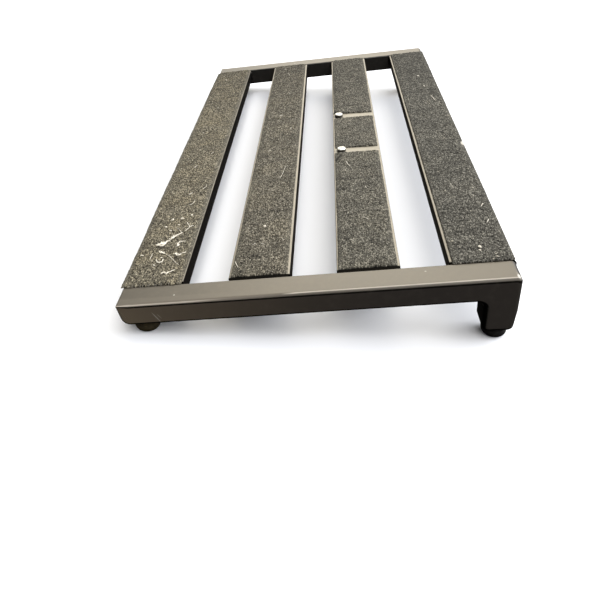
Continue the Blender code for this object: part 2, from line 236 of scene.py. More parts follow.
class Shader(Graph):
    """A material and the nodes that feed its Principled BSDF."""

    def __init__(self, name):
        self.mat = bpy.data.materials.new(name)
        self.mat.use_nodes = True
        super().__init__(self.mat.node_tree)

    def finish(self, values):
        """Sets the inputs of the BSDF and returns the material."""
        for key, value in values.items():
            self.put(self.tree.nodes["Principled BSDF"].inputs[key], value)
        return self.mat

    def deck_place(self):
        """Object position turned into the deck plane, in millimetres."""
        return self.new("ShaderNodeMapping", {
            "Vector": self.new("ShaderNodeTexCoord").outputs["Object"],
            "Location": DECK.to_translation(), "Rotation": (TILT, 0, 0),
            "Scale": (MM, MM, MM)}, vector_type="TEXTURE").outputs["Vector"]

    def noise(self, vec, scale, detail=2.0, rough=0.5, distortion=0.0):
        return self.new("ShaderNodeTexNoise", {
            "Vector": vec, "Scale": scale, "Detail": detail, "Roughness": rough,
            "Distortion": distortion}).outputs["Fac"]

    def voronoi(self, vec, scale, feature="F1"):
        return self.new("ShaderNodeTexVoronoi", {"Vector": vec, "Scale": scale},
                        feature=feature).outputs

    def remap(self, value, span, to=(0.0, 1.0), smooth=False):
        """Takes value from the range span to the range to, clamped."""
        return self.new("ShaderNodeMapRange", {
            "Value": value, "From Min": span[0], "From Max": span[1],
            "To Min": to[0], "To Max": to[1]}, clamp=True,
            interpolation_type="SMOOTHSTEP" if smooth else "LINEAR").outputs["Result"]

    def mix(self, fac, a, b, blend="MIX"):
        """Colour a where fac is 0, b where it is 1."""
        a, b = ((*c, 1.0) if isinstance(c, tuple) else c for c in (a, b))
        return self.new("ShaderNodeMix", {0: fac, 6: a, 7: b}, data_type="RGBA",
                        blend_type=blend, clamp_factor=True).outputs[2]

    def stretch(self, vec, scale):
        return self.new("ShaderNodeMapping", {"Vector": vec, "Scale": scale}).outputs["Vector"]

    def split(self, vec):
        return self.new("ShaderNodeSeparateXYZ", {0: vec}).outputs

    def normal(self):
        return self.new("ShaderNodeNewGeometry").outputs["Normal"]

    def facing(self, deck_axis):
        """How far a face looks along a deck axis ("y" or "z"), -1 to 1."""
        c, s = math.cos(TILT), math.sin(TILT)
        axis = (0.0, -s, c) if deck_axis == "z" else (0.0, c, s)
        return self.vector("DOT_PRODUCT", {0: self.normal(), 1: axis}, "Value")

    def facing_up(self, none, full):
        """0 where a face's look out of the deck is at none, 1 where it is at full."""
        to = (0.0, 1.0) if none < full else (1.0, 0.0)
        return self.remap(self.facing("z"), sorted((none, full)), to, smooth=True)

    def attr(self, name):
        return self.new("ShaderNodeAttribute", attribute_name=name).outputs["Fac"]

    def bump(self, height, strength, distance):
        return self.new("ShaderNodeBump", {
            "Height": height, "Strength": strength, "Distance": distance}).outputs["Normal"]

    def blob(self, vec, centre, radii, edge=0.35, turn_deg=0.0):
        """1 inside an ellipsoid about centre, turned about x, and 0 outside it."""
        inside = self.new("ShaderNodeMapping", {
            "Vector": vec, "Location": centre, "Rotation": (math.radians(turn_deg), 0, 0),
            "Scale": radii}, vector_type="TEXTURE")
        length = self.vector("LENGTH", {0: inside.outputs["Vector"]}, "Value")
        return self.remap(length, (1.0 - edge, 1.0 + edge), (1.0, 0.0), smooth=True)


# ------------------------------------------------------------------ powder coat
# painted shade line on the rim, below the painted highlight
SHADE_LINE_COAT = (0.0026, 0.0022, 0.0018)
# painted highlight line on the outer rim
HIGHLIGHT_COAT = (0.52, 0.47, 0.40)
# bare metal of the chips; it also paints one highlight
BARE_METAL_AND_GLINT = (0.52, 0.50, 0.46)
SHADE_BLACK = (0.0008, 0.0008, 0.0008)
# painted mid tones of the rounded outer rim, at the front and at the rear
PAINTED_RIM_FRONT, PAINTED_RIM_REAR = (0.190, 0.165, 0.135), (0.095, 0.082, 0.064)


def rim_highlight(net, place, x, y, sideways, z_way, light_painting, colour):
    """The rounded outer edge, with a painted mid tone all along it and a painted highlight line
    on it that is low and wide at the front, missing for a stretch, and high and narrow at the
    rear.
    Returns the colour with the painted mid tone, and the mask of the painted highlight line."""
    outside = net.mul(net.remap(net.abs(x), span=(295.0, 297.0)), light_painting)
    across = net.mul(outside, net.remap(sideways, span=(0.08, 0.30), to=(0.25, 1.0)))
    # painted mid tone along the rim
    painted_rim_tone = net.mul(net.remap(z_way, span=(0.38, 0.54), smooth=True), across)
    painted_rim_tone_colour = net.mix(net.remap(y, span=(70.0, 145.0)), PAINTED_RIM_FRONT, PAINTED_RIM_REAR)
    colour = net.mix(net.mul(painted_rim_tone, 0.9), colour, painted_rim_tone_colour)
    # painted highlight line: its place on the rim and its width change from front to rear
    centre = net.remap(y, span=(60.0, 150.0), to=(0.71, 0.925))
    width = net.remap(y, span=(60.0, 150.0), to=(0.125, 0.062))
    off_line = net.abs(net.math("DIVIDE", net.sub(z_way, centre), width))
    painted_highlight = net.mul(net.remap(off_line, span=(0.70, 1.20), to=(1.0, 0.0), smooth=True), across)
    patchy = net.noise(place, scale=0.035, detail=3, rough=0.6)
    broken_highlight = net.remap(patchy, span=(0.30, 0.62), to=(1.0, 0.75))
    front_run = net.remap(y, span=(48.0, 92.0), to=(0.85, 0.0), smooth=True)
    rear_run = net.remap(y, span=(134.0, 143.0), to=(0.0, 0.78))
    return colour, net.mul(painted_highlight, net.mul(broken_highlight, net.add(front_run, rear_run)))


def hidden_faces(net, y, light_painting):
    """Undersides and the leg's front face, which light and dust do not reach."""
    leg_front = net.mul(net.remap(net.facing("y"), span=(-0.50, -0.22), to=(1.0, 0.0)),
                        net.remap(y, span=(230.0, 250.0)))
    return net.mul(net.larger(net.facing_up(none=-0.02, full=-0.15), leg_front), light_painting)


def dust_and_sheen(net, place, up, big, mid, y, blotch, bare):
    """Dust and painted sheen on faces that look up: blotchy, weaker to the front, none in the
    bare spots.
    """
    dust = net.mul(up, net.remap(big, span=(0.25, 0.75), to=(0.88, 1.08)))
    dust = net.mul(dust, net.remap(y, span=(10.0, 150.0), to=(0.55, 1.0), smooth=True))
    blotches = net.remap(mid, span=(0.25, 0.75), to=(1.0 - blotch, 1.0 + 0.6 * blotch))
    dust = net.mul(dust, blotches, clamp=True)
    for centre, radii in bare:
        dust = net.mul(dust, net.sub(1.0, net.blob(place, centre, radii, edge=0.12)))
    return dust


def powder_coat(name, dark, brown, dust_sheen_colour, speck_colour, rough, spec, side_spec,
                dust_sheen_edge, blotch, nicks, light_painting=0.0, inner_shaded=None, bare=()):
    """Satin black powder coat: a fine orange-peel surface, a brown painted reflection on the
    outer sides that is heavier at the front, pale dust with painted sheen on faces that look up,
    light specks, and small chips. On the end frames the outer rim has a painted highlight line
    with a painted shade line below it, and undersides and the leg's front face are painted shade.
    Two z facings set where dust and sheen start and where they are full; a second, darker colour,
    painted shade, goes on faces away from the outer sides, and without it the coat is a rail's."""
    net = Shader(name)
    place = net.deck_place()
    x, y, _ = net.split(place)
    big = net.noise(place, scale=0.018, detail=3, rough=0.55)
    mid = net.noise(place, scale=0.16, detail=4, rough=0.6)
    fine = net.noise(place, scale=1.6, detail=3, rough=0.6)
    peel = net.voronoi(place, scale=1.15, feature="SMOOTH_F1")["Distance"]
    # painted warm reflection in brown on the outer sides, heavier at the front
    front = net.remap(y, span=(-10.0, 250.0), to=(1.0, 0.0))
    painted_light = net.mul(net.math("POWER", front, 2.0),
                    net.remap(big, span=(0.3, 0.7), to=(0.85, 1.05)), clamp=True)
    painted_light = net.mul(painted_light, net.facing_up(none=0.24, full=0.05))
    sideways = net.abs(net.split(net.normal())[0])
    outer = net.mul(net.remap(net.abs(x), span=(300.0, 303.0)),
                    net.remap(sideways, span=(0.90, 0.985)))
    painted_light = net.mul(painted_light, outer)
    # faces away from the outer sides take a darker copy of the coat, painted shade; the outer
    # sides take the brown painted reflection
    colour = net.mix(painted_light, net.mix(outer, inner_shaded or dark, dark), brown)
    # painted highlight line and painted mid tone along the outer rim, and a painted shade line
    # below them
    up = net.facing_up(*dust_sheen_edge)
    z_way = net.facing("z")
    colour, painted_highlight = rim_highlight(net, place, x, y, sideways, z_way, light_painting, colour)
    shade_line = net.mul(net.remap(z_way, span=(0.015, 0.08), smooth=True),
                    net.remap(z_way, span=(0.34, 0.46), to=(1.0, 0.0), smooth=True))
    shade_line = net.mul(shade_line, light_painting)
    if inner_shaded:
        shaded = hidden_faces(net, y, light_painting)
    else:                              # the last millimetres of a rail, beside the weld
        # painted shade over the last millimetres of a rail, beside the weld
        shaded = net.remap(net.abs(x), span=(276.6, 277.2))
    # layers of colour, from the lowest up
    # pale dust with painted sheen on faces that look up
    dust = dust_and_sheen(net, place, up, big, mid, y, blotch, bare)
    colour = net.mix(dust, colour, dust_sheen_colour)
    # painted shade line below the highlight
    colour = net.mix(net.mul(shade_line, 0.9), colour, SHADE_LINE_COAT)
    # painted highlight line on the outer rim
    colour = net.mix(painted_highlight, colour, HIGHLIGHT_COAT)
    colour = net.mix(net.remap(mid, span=(0.50, 0.76), to=(0.0, 0.07)), colour, speck_colour)
    speck_noise = net.noise(place, scale=3.1, detail=2, rough=0.5)
    specks = net.remap(speck_noise, span=(0.73, 0.80), to=(0.0, 0.20))
    colour = net.mix(specks, colour, speck_colour)
    # bare metal chips; one of the frame's is a painted highlight
    chips_and_glint = reduce(net.larger, [net.mul(net.blob(place, centre, radii, turn_deg=turn), amount)
                               for centre, radii, amount, turn in nicks])
    ragged = net.remap(net.noise(place, scale=2.2, detail=2, rough=0.5),
                       span=(0.3, 0.55), to=(0.45, 1.0))
    colour = net.mix(net.mul(chips_and_glint, ragged), colour, BARE_METAL_AND_GLINT)
    colour = net.mix(net.mul(shaded, 0.95), colour, SHADE_BLACK)
    # surface
    roughness = net.add(net.remap(mid, span=(0.3, 0.7), to=(rough - 0.03, rough + 0.04)),
                        net.remap(fine, span=(0.3, 0.7), to=(-0.02, 0.03)))
    level = net.remap(up, span=(0.0, 1.0), to=(spec * side_spec, spec))
    dulled = net.larger(net.mul(shade_line, 0.88), net.mul(shaded, 0.985))
    height = net.add(net.mul(peel, 0.55), net.mul(fine, 0.35))
    return net.finish({
        "Base Color": colour, "Roughness": roughness,
        "Specular IOR Level": net.mul(level, net.sub(1.0, dulled)),
        "Normal": net.bump(height, strength=0.10, distance=0.10 * MM)})


# Chips are (centre, radii, strength, turn about x in degrees), in deck millimetres; one entry of
# the frame's list paints a highlight.
FRAME_CHIPS_AND_GLINT = (
    ((294.8, 46.8, 0.0), (0.75, 0.60, 1.0), 0.75, 0.0),
    ((304.8, 30.8, -14.0), (1.5, 0.42, 5.6), 0.55, -154.0),
    ((304.8, 33.4, -13.0), (1.5, 0.35, 2.6), 0.30, -150.0),
    ((287.0, 247.0, 0.0), (0.8, 0.8, 1.0), 0.35, 0.0),
    ((-290.0, 120.0, 0.0), (0.9, 1.2, 1.0), 0.45, 0.0),
    ((-304.8, 210.0, -11.0), (0.9, 1.6, 0.7), 0.40, 0.0),
    ((296.0, 1.0, -2.0), (1.6, 1.2, 1.0), 0.35, 0.0),
    # a painted highlight on the rear top corner
    ((300.6, 314.6, -0.7), (2.2, 1.3, 1.5), 1.0, 0.0),
    ((-297.0, 316.5, -1.5), (1.2, 1.0, 1.4), 0.35, 0.0),
)
RAIL_NICKS = (
    ((58.0, 215.0, 0.0), (2.6, 0.7, 1.0), 0.3, 0.0),
    ((-45.0, 201.0, 0.0), (1.2, 2.0, 1.0), 0.3, 0.0),
    ((60.0, 316.7, 0.0), (4.8, 1.9, 3.0), 1.0, 0.0),
)
# Spots on the rails free of dust and painted sheen are (centre, radii); the two at the screws
# paint the shade round their heads.
RAIL_BARE = (
    ((63.0, 317.0, 0.0), (15.0, 4.6, 4.0)), ((-281.0, -1.0, 0.0), (8.0, 6.0, 5.0)),
    ((-60.5, 178.6, 0.0), (3.4, 2.6, 4.0)), ((-51.0, 184.4, 0.0), (6.6, 6.2, 4.0)),
    ((50.8, 186.0, 0.0), (5.6, 5.5, 4.0)),
)
# the coats' top colours are dust with painted sheen; on the rails the beige one is mostly painted
# sheen
FRAME_COAT = powder_coat(
    "coat_end_frames", dark=(0.0345, 0.0300, 0.0272), brown=(0.163, 0.130, 0.092),
    dust_sheen_colour=(0.106, 0.090, 0.067), speck_colour=(0.20, 0.18, 0.15), rough=0.36,
    spec=0.5, side_spec=0.7, dust_sheen_edge=(0.80, 0.985), blotch=0.16, nicks=FRAME_CHIPS_AND_GLINT,
    light_painting=1.0, inner_shaded=(0.0240, 0.0225, 0.0205))
RAIL_COAT = powder_coat(
    "coat_rails", dark=(0.0024, 0.0023, 0.0022), brown=(0.0024, 0.0023, 0.0022),
    dust_sheen_colour=(0.275, 0.245, 0.190), speck_colour=(0.10, 0.09, 0.075), rough=0.38,
    spec=0.45, side_spec=0.22, dust_sheen_edge=(0.50, 0.90), blotch=0.30, nicks=RAIL_NICKS,
    bare=RAIL_BARE)


# ------------------------------------------------------------------ tape materials
FLECK_STRAW, CRUMB_STRAW = (0.44, 0.410, 0.335), (0.42, 0.385, 0.300)
WARM_TINT = (1.0, 0.90, 0.66)
CUT_EDGE = (0.006, 0.006, 0.005)


def loop_pile(name, base, light, dark, selvedge, seed, warm):
    """Worn loop tape: every loop of the pile has its own shade, from nearly black to straw,
    with dark gaps between the loops. Over that lie paler patches, dark streaks across the
    tape, crumbs, and a duller woven selvedge."""
    net = Shader(name)
    place = net.deck_place()
    moved = net.vector("ADD", {0: net.stretch(place, (1.0, 1.0, 0.35)),
                               1: (seed * 37.3, seed * 11.9, 0)})

    def cells(scale, stretch=(1.0, 1.0, 1.0)):
        """Distance from the cell centre, and three random values per cell."""
        found = net.voronoi(net.stretch(moved, stretch), scale)
        return found["Distance"], net.new("ShaderNodeSeparateColor",
                                          {0: found["Color"]}).outputs

    def noise(stretch, **settings):
        return net.noise(net.stretch(moved, stretch), **settings)

    def swing(value, amount):
        return net.mul(net.sub(value, 0.5), amount)

    def dots(distance, chance, rare, size):
        return net.mul(net.remap(chance, span=rare), net.remap(distance, span=size))

    loop_distance, loop_random = cells(1.18, stretch=(0.66, 1.0, 1.0))
    fleck_distance, fleck_random = cells(0.31)
    wobble = net.noise(moved, scale=0.62, detail=2, rough=0.6)
    fine = net.noise(moved, scale=2.6, detail=2, rough=0.6)
    mottle = noise((1.0, 0.65, 1.0), scale=0.085, detail=3, rough=0.6)
    patch = noise((1.0, 0.7, 1.0), scale=0.030, detail=2, rough=0.5)
    streak = noise((0.16, 0.016, 1.0), scale=1.0, detail=3, rough=0.55, distortion=0.5)
    clump = noise((0.7, 1.0, 1.0), scale=0.26, detail=1, rough=0.5)
    # one shade per loop, moved by noises from fine to broad; clumps are stronger to the left
    shade = net.add(net.mul(loop_random[0], 1.0), swing(wobble, 0.36))
    shade = net.add(shade, swing(fine, 0.50))
    shade = net.add(shade, swing(mottle, 0.36))
    clump_gain = net.remap(net.split(place)[0], span=(0.0, -120.0), to=(0.05, 0.50))
    shade = net.add(shade, swing(clump, clump_gain))
    shade = net.add(shade, swing(patch, 0.28))
    colour = net.mix(net.remap(shade, span=(0.06, 0.40), smooth=True), dark, base)
    colour = net.mix(net.remap(shade, span=(0.70, 0.93), smooth=True), colour, light)
    gap = net.remap(loop_distance, span=(0.52, 0.86), to=(0.0, 0.75))
    colour = net.mix(gap, colour, dark)
    colour = net.mix(net.remap(streak, span=(0.42, 0.30), to=(0.0, 0.42)), colour, dark)
    # straw-coloured flecks, and fewer, larger crumbs
    fleck = dots(fleck_distance, fleck_random[1], rare=(0.86, 0.90), size=(0.27, 0.13))
    colour = net.mix(net.mul(fleck, 0.80), colour, FLECK_STRAW)
    crumb_distance, crumb_random = cells(0.120)
    crumb = dots(crumb_distance, crumb_random[2], rare=(0.74, 0.78), size=(0.17, 0.07))
    colour = net.mix(net.mul(crumb, 0.75), colour, CRUMB_STRAW)
    tint = net.mul(net.remap(patch, span=(0.45, 0.65)), warm)
    colour = net.mix(tint, colour, WARM_TINT, blend="MULTIPLY")
    far_dark = net.remap(net.split(place)[0], span=(-279.0, -60.0), to=(0.25, 0.0), smooth=True)
    colour = net.mix(far_dark, colour, (0.0, 0.0, 0.0))
    colour = net.mix(net.attr("selvedge"), colour, selvedge)
    # near black on cut lines, and on tapes 2 and 3 painted shade at the foot of the walls, over
    # the black backing
    colour = net.mix(net.attr("cut"), colour, CUT_EDGE)
    height = net.add(net.mul(fine, 0.5), net.mul(loop_distance, -0.7))
    return net.finish({
        "Base Color": colour, "Roughness": 0.95, "Specular IOR Level": 0.15,
        "Sheen Weight": 0.04, "Sheen Roughness": 0.6, "Sheen Tint": (0.85, 0.82, 0.76, 1.0),
        "Normal": net.bump(height, strength=0.6, distance=0.6 * MM)})


def plain_fibre(name, low, high, rough=0.8, scale=0.5):
    net = Shader(name)
    mottle = net.noise(net.deck_place(), scale, detail=2)
    return net.finish({
        "Base Color": net.mix(net.remap(mottle, span=(0.35, 0.65)), low, high),
        "Roughness": rough, "Specular IOR Level": 0.3, "Sheen Weight": 0.2})


def rubber(name):
    """Black rubber with a grain, pale dust, and a browner tone on the front feet."""
    net = Shader(name)
    place = net.deck_place()
    grain = net.noise(place, scale=2.4, detail=4, rough=0.65)
    dust = net.noise(place, scale=0.35, detail=3, rough=0.6)
    colour = net.mix(net.remap(grain, span=(0.35, 0.7)),
                     (0.0050, 0.0050, 0.0050), (0.0125, 0.0120, 0.0115))
    dusty = net.remap(dust, span=(0.52, 0.75), to=(0.0, 0.16))
    colour = net.mix(dusty, colour, (0.11, 0.10, 0.085))
    # browner towards the front feet, fading out by y = 120 mm
    brown = net.mul(net.remap(net.split(place)[1], span=(40.0, 120.0), to=(1.0, 0.0)),
                    net.remap(dust, span=(0.30, 0.60), to=(0.35, 1.0)))
    colour = net.mix(net.mul(brown, 0.80), colour, (0.062, 0.048, 0.022))
    return net.finish({
        "Base Color": colour, "Specular IOR Level": 0.16,
        "Roughness": net.remap(grain, span=(0.3, 0.7), to=(0.62, 0.80)),
        "Normal": net.bump(grain, strength=0.25, distance=0.12 * MM)})


def plated_steel(name, tint, stain, painted_light):
    """Plated steel with fine marks, a little tarnish, and painted shade on faces that look down.
    """
    net = Shader(name)
    place = net.deck_place()
    dull = net.noise(place, scale=0.5, detail=4, rough=0.6)
    fine = net.noise(net.stretch(place, (1.0, 1.0, 4.0)), scale=1.8, detail=2, rough=0.6)
    colour = net.mix(net.remap(dull, span=(0.50, 0.75), to=(0.0, 0.55)), tint, stain)
    return net.finish({
        # faces that look down take the darker colour, painted shade
        "Base Color": net.mix(net.facing_up(none=-0.1, full=0.55), painted_light, colour),
        "Metallic": 1.0, "Roughness": net.remap(dull, span=(0.3, 0.7), to=(0.30, 0.44)),
        "Normal": net.bump(fine, strength=0.10, distance=0.05 * MM)})


# One row per rail: base, light, dark and selvedge colours, seed, warmth.
PILE = [loop_pile("pile_%d" % row[4], *row) for row in (
    ((0.104, 0.0925, 0.0680), (0.330, 0.295, 0.216), (0.0110, 0.0090, 0.0060),
     (0.086, 0.081, 0.069), 1, 0.25),
    ((0.086, 0.0775, 0.0600), (0.270, 0.246, 0.195), (0.0100, 0.0088, 0.0066),
     (0.072, 0.068, 0.056), 2, 0.15),
    ((0.079, 0.0740, 0.0605), (0.245, 0.230, 0.190), (0.0105, 0.0096, 0.0078),
     (0.072, 0.068, 0.058), 3, 0.10),
    ((0.067, 0.0640, 0.0545), (0.220, 0.210, 0.181), (0.0090, 0.0085, 0.0072),
     (0.067, 0.064, 0.055), 4, 0.05),
)]
# One row per rail: darker and lighter fibre colour.
FIBRE = [plain_fibre("fibre_%d" % (i + 1), low, high) for i, (low, high) in enumerate((
    ((0.08, 0.072, 0.054), (0.33, 0.300, 0.235)),
    ((0.07, 0.064, 0.051), (0.28, 0.260, 0.212)),
    ((0.066, 0.061, 0.051), (0.27, 0.254, 0.215)),
    ((0.060, 0.057, 0.049), (0.25, 0.238, 0.206)),
))]
LINT = plain_fibre("lint_cream", (0.62, 0.57, 0.46), (0.78, 0.74, 0.66), rough=0.75, scale=0.9)
RUBBER = rubber("rubber_feet")
# each screw's colour for faces that look down is painted shade; on the bright screws it is near
# black, for the shade on the sides of their heads
ZINC = plated_steel("zinc_hardware", tint=(0.62, 0.61, 0.58), stain=(0.30, 0.28, 0.24),
                    painted_light=(0.50, 0.49, 0.46))
BRIGHT = plated_steel("bright_screws", tint=(0.90, 0.89, 0.84), stain=(0.70, 0.68, 0.62),
                      painted_light=(0.05, 0.046, 0.04))


# ------------------------------------------------------------------ end frames
EDGE_R, LEG_EDGE_R = 3.5 * MM, 4.6 * MM        # rounding of the bar's and the leg's edges
BAR_EDGE_R = EDGE_R * 0.8                      # along the bar's underside
TOP_REAR_R, NOSE_R, FILLET_R, LEG_CORNER_R = 5.0 * MM, 7.5 * MM, 7.5 * MM, 5.0 * MM
LIP_R = 1.6 * MM                               # top front corner
ROUND_STEPS = 12
SUPPORT = 0.35 * MM                            # support row beyond a rounding
INNER_EDGE = 0.68                              # inner roundings, as a share of the outer


def side_outline():
    """The end frame from its side, as (y, z, radius of the rounded edge there)."""
    def at(points, radius):
        return [(y, z, radius) for y, z in points]

    points = at(arc(DEPTH - TOP_REAR_R, -TOP_REAR_R, TOP_REAR_R, 0, 90, 12), EDGE_R)
    points.append((10.0 * MM, 0.0, 3.0 * MM))
    points += at(arc(LIP_R, -LIP_R, LIP_R, 90, 180, 6), 1.45 * MM)
    points += at(arc(NOSE_R + 0.3 * MM, -BAR_H + NOSE_R, NOSE_R, 180, 270, 12), BAR_EDGE_R)
    fillet = arc(LEG_FRONT_Y - FILLET_R, -BAR_H - FILLET_R, FILLET_R, 90, 0, 12)
    for i, (y, z) in enumerate(fillet):        # the bar's rounding grows into the leg's
        t = i / (len(fillet) - 1)
        s = t * t * (3 - 2 * t)
        points.append((y, z, BAR_EDGE_R * (1 - s) + LEG_EDGE_R * s))
    low = -LEG_H + LEG_CORNER_R
    points += at(arc(LEG_FRONT_Y + LEG_CORNER_R, low, LEG_CORNER_R, 180, 270, 10),
                 LEG_EDGE_R * 0.86)
    points += at(arc(DEPTH - 2.2 * MM - LEG_CORNER_R, low, LEG_CORNER_R, 270, 355, 10), EDGE_R)
    points.append((DEPTH - 0.5 * MM, -32.0 * MM, EDGE_R))
    return points


def end_frame(side, sign):
    """An end frame with rounded edges, and support rows so that the flats shade flat."""
    points = dense(side_outline(), near=0.5 * MM, step=12 * MM)
    normals = inward(points)

    def ring(face_x, toward, grow, step):
        out = []
        for (y, z, radius), (ny, nz) in zip(points, normals):
            r = grow * radius
            if step == -1:                     # inside the flat side
                along, inset = 0.0, r + SUPPORT
            elif step == ROUND_STEPS + 1:      # on the top and bottom flats
                along, inset = r + SUPPORT, 0.0
            else:
                a = math.radians(90.0 * step / ROUND_STEPS)
                along, inset = r * (1 - math.cos(a)), r * (1 - math.sin(a))
            out.append((face_x + toward * along, y + ny * inset, z + nz * inset))
        return out

    steps = range(-1, ROUND_STEPS + 2)
    rings = [ring(sign * INNER, sign, INNER_EDGE, k) for k in steps]
    rings += [ring(sign * LENGTH / 2, -sign, 1.0, k) for k in reversed(steps)]
    verts, faces, caps = loft(rings)
    add_mesh("end_frame_%s_coated" % side, verts, faces + caps, FRAME_COAT,
             replaces="end_frame_" + side)


for side, sign in SIDES:
    end_frame(side, sign)


# ------------------------------------------------------------------ rails
RAIL_HALF = INNER - 0.3 * MM
RAIL_CHAMFER = 0.8 * RAIL_WALL
RAIL_CUTS = 40


def rounded_rect(w, h, r, steps):
    """Rounded rectangle, centred on y, with its top at z = 0."""
    out = []
    for cy, cz, start in ((w / 2 - r, -r, 0), (-w / 2 + r, -r, 90),
                          (-w / 2 + r, -h + r, 180), (w / 2 - r, -h + r, 270)):
        out += arc(cy, cz, r, start, start + 90, steps)
    return out


def rail(mid_y, node):
    """An open box tube with chamfered ends."""
    def outline(inset, radius):
        corners = rounded_rect(RAIL_W - 2 * inset, RAIL_H - 2 * inset, radius, 5)
        return dense([(y, z - inset) for y, z in corners], near=0.4 * MM, step=8 * MM)

    outer = outline(0, RAIL_CORNER)
    chamfer = outline(RAIL_CHAMFER, RAIL_CORNER - 0.5 * RAIL_CHAMFER)
    bore = outline(RAIL_WALL, 0.6 * MM)
    edge, start = RAIL_HALF - 1.4 * MM, RAIL_HALF - 1.9 * MM
    stations = [(-RAIL_HALF, bore), (-RAIL_HALF, chamfer), (-edge, outer), (-start, outer)]
    stations += [(-start + 2 * start * k / RAIL_CUTS, outer) for k in range(1, RAIL_CUTS)]
    stations += [(start, outer), (edge, outer), (RAIL_HALF, chamfer), (RAIL_HALF, bore)]
    rings = [[(x, mid_y + y, z) for y, z in shape] for x, shape in stations]
    verts, faces, _ = loft(rings, closed=True)
    add_mesh(node + "_coated", verts, faces, RAIL_COAT, replaces=node,
             sharp_deg=30)


for i, node in ((0, "rail_1_front"), (1, "rail_2"), (3, "rail_4_rear")):
    rail(RAIL_MID_Y[i], node)

# rail 3 keeps its CAD tube, for the two drilled screw holes
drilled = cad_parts["rail_3"].data
drilled.shade_smooth()
drilled.set_sharp_from_angle(angle=math.radians(25))


# ------------------------------------------------------------------ welds
WELD_TOP = -2.6 * MM
WELD_STEP = 0.45                               # millimetres along the bead
WELD_SIDES = 10


def weld_path():
    """Down one side of a rail's end, under it and up the other side, as (y, z)."""
    w, h, r = RAIL_W / 2, RAIL_H, RAIL_CORNER
    path = [(-w, WELD_TOP), (-w, -h + r)]
    path += arc(-w + r, -h + r, r, 180, 270, 5)[1:]
    path += [(w - r, -h)]
    path += arc(w - r, -h + r, r, 270, 360, 5)[1:]
    path += [(w, WELD_TOP)]
    fine = []
    for a, b in zip(path, path[1:]):
        pieces = max(1, int(math.hypot(b[0] - a[0], b[1] - a[1]) / (WELD_STEP * MM)))
        fine += [(a[0] + (b[0] - a[0]) * q / pieces, a[1] + (b[1] - a[1]) * q / pieces)
                 for q in range(pieces)]
    return fine + [path[-1]]


def weld(name, index, sign):
    """Fillet weld round the sides and underside of a rail's end: a bead laid in short
    overlapping puddles, tapered at both ends."""
    path = weld_path()
    rng = random.Random(index * 7 + (sign > 0))
    rings, run = [], 0.0
    last = len(path) - 1
    for i, (y, z) in enumerate(path):
        a, b = path[max(0, i - 1)], path[min(last, i + 1)]
        along = Vector((b[0] - a[0], b[1] - a[1])).normalized()
        out = Vector((along.y, -along.x))      # away from the tube
        run += WELD_STEP
        puddle = abs(((run / 2.1) % 1.0) - 0.35)
        radius = (1.55 - 0.5 * puddle + rng.uniform(-0.05, 0.05)) * MM
        radius *= min(1.0, 0.35 + i / 5.0, 0.35 + (last - i) / 5.0)
        ring = []
        for q in range(WELD_SIDES):
            angle = 2 * math.pi * q / WELD_SIDES
            x = sign * (INNER - 0.95 * MM) + math.cos(angle) * radius * 0.9
            rise = math.sin(angle) * radius * 0.8 + 0.15 * MM
            ring.append((x, RAIL_MID_Y[index] + y + out.x * rise, z + out.y * rise))
        rings.append(ring)
    verts, faces, caps = loft(rings)
    add_mesh(name, verts, faces + caps, FRAME_COAT)


for i in range(4):
    for side, sign in SIDES:
        weld("weld_rail_%d_%s" % (i + 1, side), i, sign)


# ------------------------------------------------------------------ loop tape, in millimetres
TAPE_PITCH = 0.85                              # grid spacing
TAPE_MAX = 2.25                                # highest pile
Strip = namedtuple("Strip", "front rear far near z")


def smooth01(t):
    t = np.clip(t, 0.0, 1.0)
    return t * t * (3 - 2 * t)


def segment_distance(x, y, ax, ay, bx, by):
    px, py = x - ax, y - ay
    vx, vy = bx - ax, by - ay
    t = np.clip((px * vx + py * vy) / (vx * vx + vy * vy), 0, 1)
    return np.hypot(px - t * vx, py - t * vy)


def tape_outline(seed, front, rear, far, near, notches, edge_rag, end_rag):
    """Grid of the strip with wandering edges and ragged cut ends: x, y, and the distances
    to the nearer edge and the nearer end."""
    cols, rows = int(abs(near[0] - far[0]) / TAPE_PITCH), int((rear - front) / TAPE_PITCH)
    s = np.linspace(0, 1, cols + 1)[:, None]
    t = np.linspace(0, 1, rows + 1)[None, :]
    across = t * (rear - front)

    def end(corners, lane, shift):
        rag = vnoise(across / 1.3, across * 0 + lane, seed + shift) - 0.5
        return corners[0] + (corners[1] - corners[0]) * t + rag * 2 * end_rag

    x_far, x_near = end(far, 3.1, 5), end(near, 8.7, 6)
    x = x_far + (x_near - x_far) * s

    def edge(y, lane):
        # cell length, amount and seed shift of each wander, from broad to fine
        wander = sum((vnoise(x / cell, x * 0 + lane, seed + shift) - 0.5) * amount
                     for cell, amount, shift in ((34.0, 1.0, 11), (7.0, 0.5, 12), (1.6, 0.7, 13)))
        return y + wander * edge_rag * 2

    y_front, y_rear = edge(front, 1.0), edge(rear, 2.0)
    for middle, half, deep in notches:
        y_rear = y_rear - np.exp(-np.abs((x - middle) / half) ** 3.0) * deep
    y = y_front + (y_rear - y_front) * t
    to_end = np.minimum(np.abs(x - x_far), np.abs(x_near - x))
    return x, y, np.minimum(y - y_front, y_rear - y), to_end


